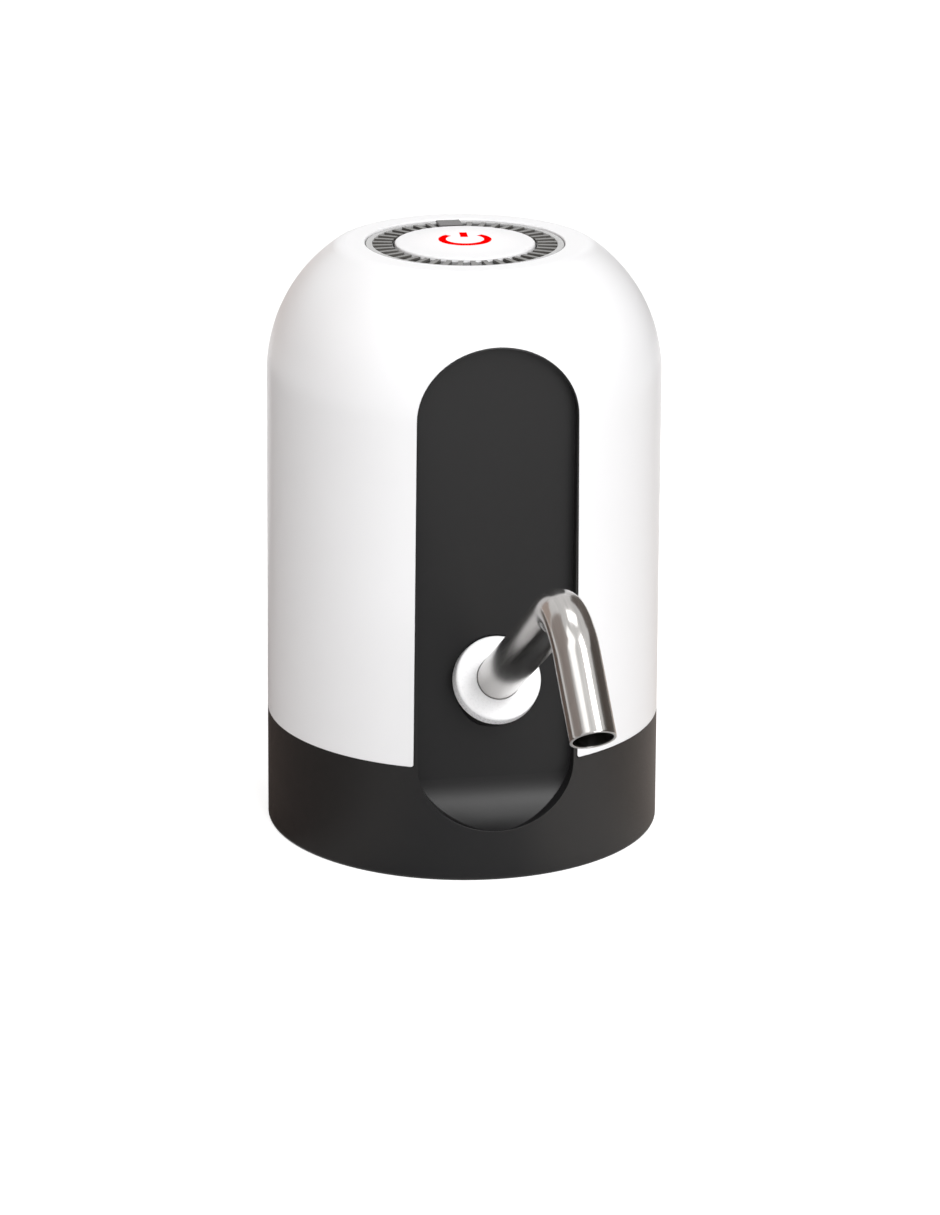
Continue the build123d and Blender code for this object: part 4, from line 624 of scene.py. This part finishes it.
collar_outline = softened([(COLLAR_BORE, 0), (COLLAR_BORE, REGISTER_BACK), (REGISTER_RADIUS, REGISTER_BACK),
                           (REGISTER_RADIUS, COLLAR_BACK), (COLLAR_BACK_RADIUS, COLLAR_BACK),
                           (COLLAR_RADIUS, 0)], COLLAR_SOFTNESS)
collar_outline = collar_outline[:-(CORNER_STEPS + 1)] + COLLAR_FRONT_EDGE
own_piece(turned("spout_collar_ring", collar_outline, Matrix.Translation(ROOT) @ root_axes), white_collar,
          "housing", "white_shell", "spout_collar")

# Spout tube. Stainless steel tube of 8 mm, 0.5 mm thick, bent once over a former, with a rolled bead
# that the collar traps. It is square cut and deburred at the mouth, and polished lengthways.
TUBE_RADIUS = 4.0
TUBE_WALL = 0.5
TUBE_BEND = 12.0
TUBE_START = -9.15
TUBE_RISE_LENGTH = 68
TUBE_FALL_LENGTH = 25
TUBE_FALL = radians(50)
TUBE_TURN = radians(3.2)
TUBE_SIDES = 64
TUBE_STEP = 0.35
BEND_STEPS = 48
BEAD_HEIGHT = 0.68
BEAD_MIDDLE = -5.05
BEAD_HALF_WIDTH = 0.4
DEBURR = 0.1
DEBURR_STEPS = 3
SHARP_EDGE = radians(50)


def polished_steel(name, colour, roughness):
    """Steel polished lengthways: streaks that follow the tube, over faint handling haze."""
    material, add = new_finish(name)
    lay = add("Attribute", attribute_name="lay")
    stretch = add("VectorMath", {0: lay.outputs["Vector"], 1: (1, 1, 9)}, operation="MULTIPLY")
    along_tube = stretch.outputs["Vector"]
    bands = add("TexNoise", {"Vector": along_tube, "Scale": 1.7, "Detail": 1})
    lines = add("TexNoise", {"Vector": along_tube, "Scale": 14, "Detail": 5}).outputs["Fac"]
    tone = add("MixRGB", {"Fac": bands.outputs["Fac"], "Color1": shaded(colour, 0.72),
                          "Color2": shaded(colour, 1.35)})
    streaked = add("MixRGB", {"Fac": 0.22, "Color1": tone.outputs["Color"], "Color2": lines},
                   blend_type="MULTIPLY")
    gloss = add("MapRange", {"Value": lines, "To Min": roughness * 0.6, "To Max": roughness * 1.4})
    scratch = add("Bump", {"Strength": 0.12, "Distance": 0.004 * MM, "Height": lines})
    surface(material, base_color=streaked.outputs["Color"], roughness=gloss.outputs["Result"],
            normal=scratch.outputs["Normal"], metallic=1.0)
    return material


def walled(name, mesh, thickness, bevel):
    """Gives an open skin its wall, inwards, and breaks the edges of its ends."""
    holder = in_scene("walling", mesh)
    wall = holder.modifiers.new("wall", "SOLIDIFY")
    wall.thickness = thickness
    wall.offset = -1
    edge = holder.modifiers.new("edge", "BEVEL")
    edge.width = bevel
    edge.segments = DEBURR_STEPS
    edge.limit_method = "ANGLE"
    edge.angle_limit = SHARP_EDGE
    return plain_mesh(holder, name)


stainless = polished_steel("stainless", (0.52, 0.505, 0.49), 0.17)
tube_tree = GrowthTree("bent_tube", root="Vector", corner="Vector", mouth="Vector", bend_radius="Float",
                       tube_radius="Float", bead_place="Float", bead_height="Float", bead_half_width="Float",
                       tube_finish="Material")
add, given = tube_tree.add, tube_tree.given
number = add("InputIndex").outputs[0]
is_corner = tube_tree.compare("INT", "EQUAL", {2: number, 3: 1})
is_mouth = tube_tree.compare("INT", "EQUAL", {2: number, 3: 2})
to_corner = add("Switch", {"Switch": is_corner, "False": given["Root"], "True": given["Corner"]},
                input_type="VECTOR")
to_mouth = add("Switch", {"Switch": is_mouth, "False": to_corner.outputs[0], "True": given["Mouth"]},
               input_type="VECTOR")
route = add("SetPosition", {"Geometry": add("MeshLine", {"Count": 3}).outputs[0],
                            "Position": to_mouth.outputs[0]})
wire = add("MeshToCurve", {0: route.outputs[0]})
bend = add("FilletCurve", {"Curve": wire.outputs[0], "Count": BEND_STEPS, "Radius": given["Bend Radius"]},
           mode="POLY")
fine_wire = add("ResampleCurve", {"Curve": bend.outputs[0], "Length": TUBE_STEP * MM}, mode="LENGTH")
along = add("SplineParameter").outputs["Length"]
from_bead = tube_tree.work_out("SUBTRACT", along, given["Bead Place"])
in_widths = tube_tree.work_out("DIVIDE", from_bead, given["Bead Half Width"])
squared = tube_tree.work_out("MULTIPLY", in_widths, in_widths)
hump = tube_tree.work_out("SQRT", tube_tree.work_out("SUBTRACT", 1.0, squared, use_clamp=True))
swell = tube_tree.work_out("MULTIPLY_ADD", hump, given["Bead Height"], given["Tube Radius"])
long_way = tube_tree.captured(fine_wire.outputs[0], "FLOAT", "Along", along)
circle = add("CurvePrimitiveCircle", {"Resolution": TUBE_SIDES, "Radius": 1.0})
round_way = tube_tree.captured(circle.outputs["Curve"], "VECTOR", "Round", add("InputPosition").outputs[0])
skin = add("CurveToMesh", {"Curve": long_way.outputs["Geometry"], "Scale": swell,
                           "Profile Curve": round_way.outputs["Geometry"]})
around = add("SeparateXYZ", {0: round_way.outputs["Round"]}, family="ShaderNode").outputs
lay = tube_tree.vector(around["X"], around["Y"], long_way.outputs["Along"])
with_lay = add("StoreNamedAttribute", {"Geometry": skin.outputs[0], "Name": "lay", "Value": lay},
               data_type="FLOAT_VECTOR", domain="POINT")
smooth = add("SetShadeSmooth", {"Geometry": with_lay.outputs[0]})
tube_tree.end(smooth.outputs[0], given["Tube Finish"])

corner = ROOT + root_direction * TUBE_RISE_LENGTH * MM
mouth = corner + Vector((0, -cos(TUBE_FALL), -sin(TUBE_FALL))) * TUBE_FALL_LENGTH * MM
tube_skin = grown("tube_skin", tube_tree, {
    "Root": ROOT + root_direction * TUBE_START * MM, "Corner": corner, "Mouth": mouth,
    "Bend Radius": TUBE_BEND * MM, "Tube Radius": TUBE_RADIUS * MM, "Tube Finish": stainless,
    "Bead Place": (BEAD_MIDDLE - TUBE_START) * MM, "Bead Height": BEAD_HEIGHT * MM,
    "Bead Half Width": BEAD_HALF_WIDTH * MM})
outward = 0
for face in list(tube_skin.polygons)[:TUBE_SIDES]:
    on_axis = ROOT + root_direction * root_direction.dot(face.center - ROOT)
    outward += face.normal.dot(face.center - on_axis)
if outward < 0:
    tube_skin.flip_normals()
tube_mesh = walled("bent_spout_tube", tube_skin, TUBE_WALL * MM, DEBURR * MM)
swivel = Matrix.Rotation(TUBE_TURN, 4, root_direction)
tube_mesh.transform(Matrix.Translation(ROOT) @ swivel @ Matrix.Translation(-ROOT))
own_piece(tube_mesh, stainless, "spout", "stainless", "spout_tube")

# Studio. A pale floor that runs out of view and four soft lamps: the key and a smaller one at the
# front right, one nearly overhead and one at the front left. Boards round the pump and a toned card
# on the floor, which the camera can't see, are there for the steel and the dark plastic to reflect.
CAMERA_BEARING = -10.6
FLOOR_REACH = 4.0
FLOOR_GLOW = 0.6
SURROUND_LIGHT = 0.48
LAMP_AIM = Vector((0, 0, 0.06))
BOARD_BENDS = 16
CARD_LIFT = 0.0005
CARD_NEAR = 0.034
CARD_FAR = 0.5
# Painted light: the card's tones are lifted near the pump, where the pump shades it, and lowered far out.
CARD_NEAR_SHARE = 1.35
CARD_FAR_SHARE = 0.45
BROWN = (0.17, 0.13, 0.112)
GREY = (0.36, 0.36, 0.37)
WARM = (0.62, 0.545, 0.495)
FLAT_GREY = (0.5, 0.47, 0.45)
NEAR_WHITE = (0.95, 0.91, 0.87)
CARD_TONES = [(-150, BROWN), (-110, BROWN), (-70, BROWN), (-40, FLAT_GREY), (-18, GREY), (12, GREY),
              (35, NEAR_WHITE), (80, WARM), (110, WARM), (150, WARM)]


def towards(bearing, rise=0):
    """Unit vector from the pump at a bearing from the camera's and a rise, both in degrees."""
    turn = radians(CAMERA_BEARING + bearing)
    lift = radians(rise)
    return Vector((sin(turn) * cos(lift), -cos(turn) * cos(lift), sin(lift)))


def matt(name):
    """Matt card, still without its colour."""
    material = new_finish(name)[0]
    surface(material, roughness=0.9, specular_ior_level=0.1)
    return material


def staged(name, corners, quads, material, hidden_from=()):
    """A part of the studio from corners and quads, hidden from some kinds of ray. Gives its mesh."""
    mesh = bpy.data.meshes.new(name)
    mesh.from_pydata(corners, [], quads)
    mesh.materials.append(material)
    thing = in_scene(name, mesh)
    for kind in hidden_from:
        setattr(thing, "visible_" + kind, False)
    return mesh


def seen_rays(add):
    """One for a ray from the camera, from gloss or through clear plastic, and nothing for lighting."""
    path = add("LightPath").outputs
    gloss_or_eye = add("Math", {0: path["Is Camera Ray"], 1: path["Is Glossy Ray"]}, operation="MAXIMUM")
    any_seen = add("Math", {0: gloss_or_eye.outputs[0], 1: path["Is Transmission Ray"]}, operation="MAXIMUM")
    return any_seen.outputs[0]


def side_board(name, first, last, distance, low, high, colour):
    """A bowed board round one side, between two bearings from the camera's, that the camera can't see."""
    corners = []
    for step in range(BOARD_BENDS + 1):
        out = towards(first + (last - first) * step / BOARD_BENDS) * distance
        corners += [(out.x, out.y, low), (out.x, out.y, high)]
    quads = [(2 * i, 2 * i + 2, 2 * i + 3, 2 * i + 1) for i in range(BOARD_BENDS)]
    card = matt(name)
    surface(card, base_color=(*colour, 1))
    staged(name, corners, quads, card, hidden_from=("camera", "shadow"))


def floor_card():
    """A card on the floor round the pump that only reflections see, toned by its bearing; painted lighter
    near the pump, against the shade the pump casts on it, and darker further out.
    """
    corners = []
    tones = []
    for bearing, tone in CARD_TONES:
        for reach, share in ((CARD_NEAR, CARD_NEAR_SHARE), (CARD_FAR, CARD_FAR_SHARE)):
            out = towards(bearing) * reach
            corners.append((out.x, out.y, CARD_LIFT))
            tones += shaded(tone, share)
    quads = [(2 * i, 2 * i + 1, 2 * i + 3, 2 * i + 2) for i in range(len(CARD_TONES) - 1)]
    card = matt("floor_card")
    add = node_adder(card.node_tree, "ShaderNode")
    surface(card, base_color=add("Attribute", attribute_name="tone").outputs["Color"])
    mesh = staged("floor_card", corners, quads, card,
                  hidden_from=("camera", "shadow", "diffuse", "transmission"))
    mesh.color_attributes.new("tone", "FLOAT_COLOR", "POINT").data.foreach_set("color", tones)


def soft_lamp(name, bearing, rise, distance, width, height, watts):
    """A soft square lamp at a bearing from the camera's and a rise, that looks at the pump."""
    light = bpy.data.lights.new(name, "AREA")
    light.shape = "RECTANGLE"
    light.size = width
    light.size_y = height
    light.energy = watts
    out = towards(bearing, rise)
    lamp_object = in_scene(name, light)
    lamp_object.location = LAMP_AIM + out * distance
    lamp_object.rotation_euler = (-out).to_track_quat("-Z", "Y").to_euler()


paper = matt("paper")
add = node_adder(paper.node_tree, "ShaderNode")
glow = add("Math", {0: seen_rays(add), 1: FLOOR_GLOW}, operation="MULTIPLY")
surface(paper, base_color=(0.78, 0.78, 0.78, 1), emission_color=(1, 1, 1, 1),
        emission_strength=glow.outputs[0])
staged("floor", [(x * FLOOR_REACH, y * FLOOR_REACH, 0) for x, y in ((-1, -1), (1, -1), (1, 1), (-1, 1))],
       [(0, 1, 2, 3)], paper)

world = bpy.data.worlds.new("surround")
bpy.context.scene.world = world
world.use_nodes = True
add = node_adder(world.node_tree, "ShaderNode")
level = add("MapRange", {"Value": seen_rays(add), "To Min": SURROUND_LIGHT, "To Max": 1.0})
feed(world.node_tree.nodes["Background"], {"Strength": level.outputs["Result"], "Color": (1, 1, 1, 1)})

side_board("right_board", first=54, last=112, distance=0.6, low=0.0, high=0.5, colour=(0.15, 0.13, 0.118))
side_board("back_right_board", first=112, last=166, distance=0.6, low=0.0, high=0.62,
           colour=(0.18, 0.16, 0.148))
side_board("left_board", first=-165, last=-120, distance=0.6, low=0.0, high=0.25, colour=(0.60, 0.50, 0.45))
side_board("near_left_board", first=-118, last=-56, distance=0.7, low=0.08, high=0.95,
           colour=(0.46, 0.41, 0.385))
floor_card()
soft_lamp("key", bearing=24, rise=28, distance=1.2, width=0.6, height=0.6, watts=8)
soft_lamp("streak", bearing=46, rise=53, distance=1.1, width=0.34, height=0.5, watts=3.0)
soft_lamp("overhead", bearing=172, rise=80, distance=1.0, width=0.5, height=0.36, watts=1.5)
soft_lamp("front_left", bearing=-44, rise=54, distance=1.1, width=0.6, height=0.6, watts=1.6)

# Camera, where the photograph was taken from: in front, a little to the left and above, with a long
# lens. Its angles are in radians, and its focal length in pixels of the photograph.
PHOTO_HEIGHT = 1215
FOCAL_PIXELS = 4249.2
SENSOR = 36
PUMP_TURN = 0.18441
YAW = 0.0018
DIP = 0.3212
ROLL = 0.0063
CAMERA_PLACE = Vector((-0.1413, -0.7574, 0.2974))
NEAREST = 0.01
side_turn = PUMP_TURN + YAW
forward = Vector((sin(side_turn) * cos(DIP), cos(side_turn) * cos(DIP), -sin(DIP)))
level_right = forward.cross(Vector((0, 0, 1))).normalized()
level_up = level_right.cross(forward)
view_right = level_right * cos(ROLL) + level_up * sin(ROLL)
view_up = level_up * cos(ROLL) - level_right * sin(ROLL)
lens = bpy.data.cameras.new("camera")
lens.sensor_width = SENSOR
lens.lens = FOCAL_PIXELS * SENSOR / PHOTO_HEIGHT
lens.clip_start = NEAREST
camera = in_scene("camera", lens)
view_axes = Matrix((view_right, view_up, -forward)).transposed().to_4x4()
camera.matrix_world = Matrix.Translation(CAMERA_PLACE) @ view_axes
bpy.context.scene.camera = camera
bpy.context.scene.view_settings.view_transform = "Standard"
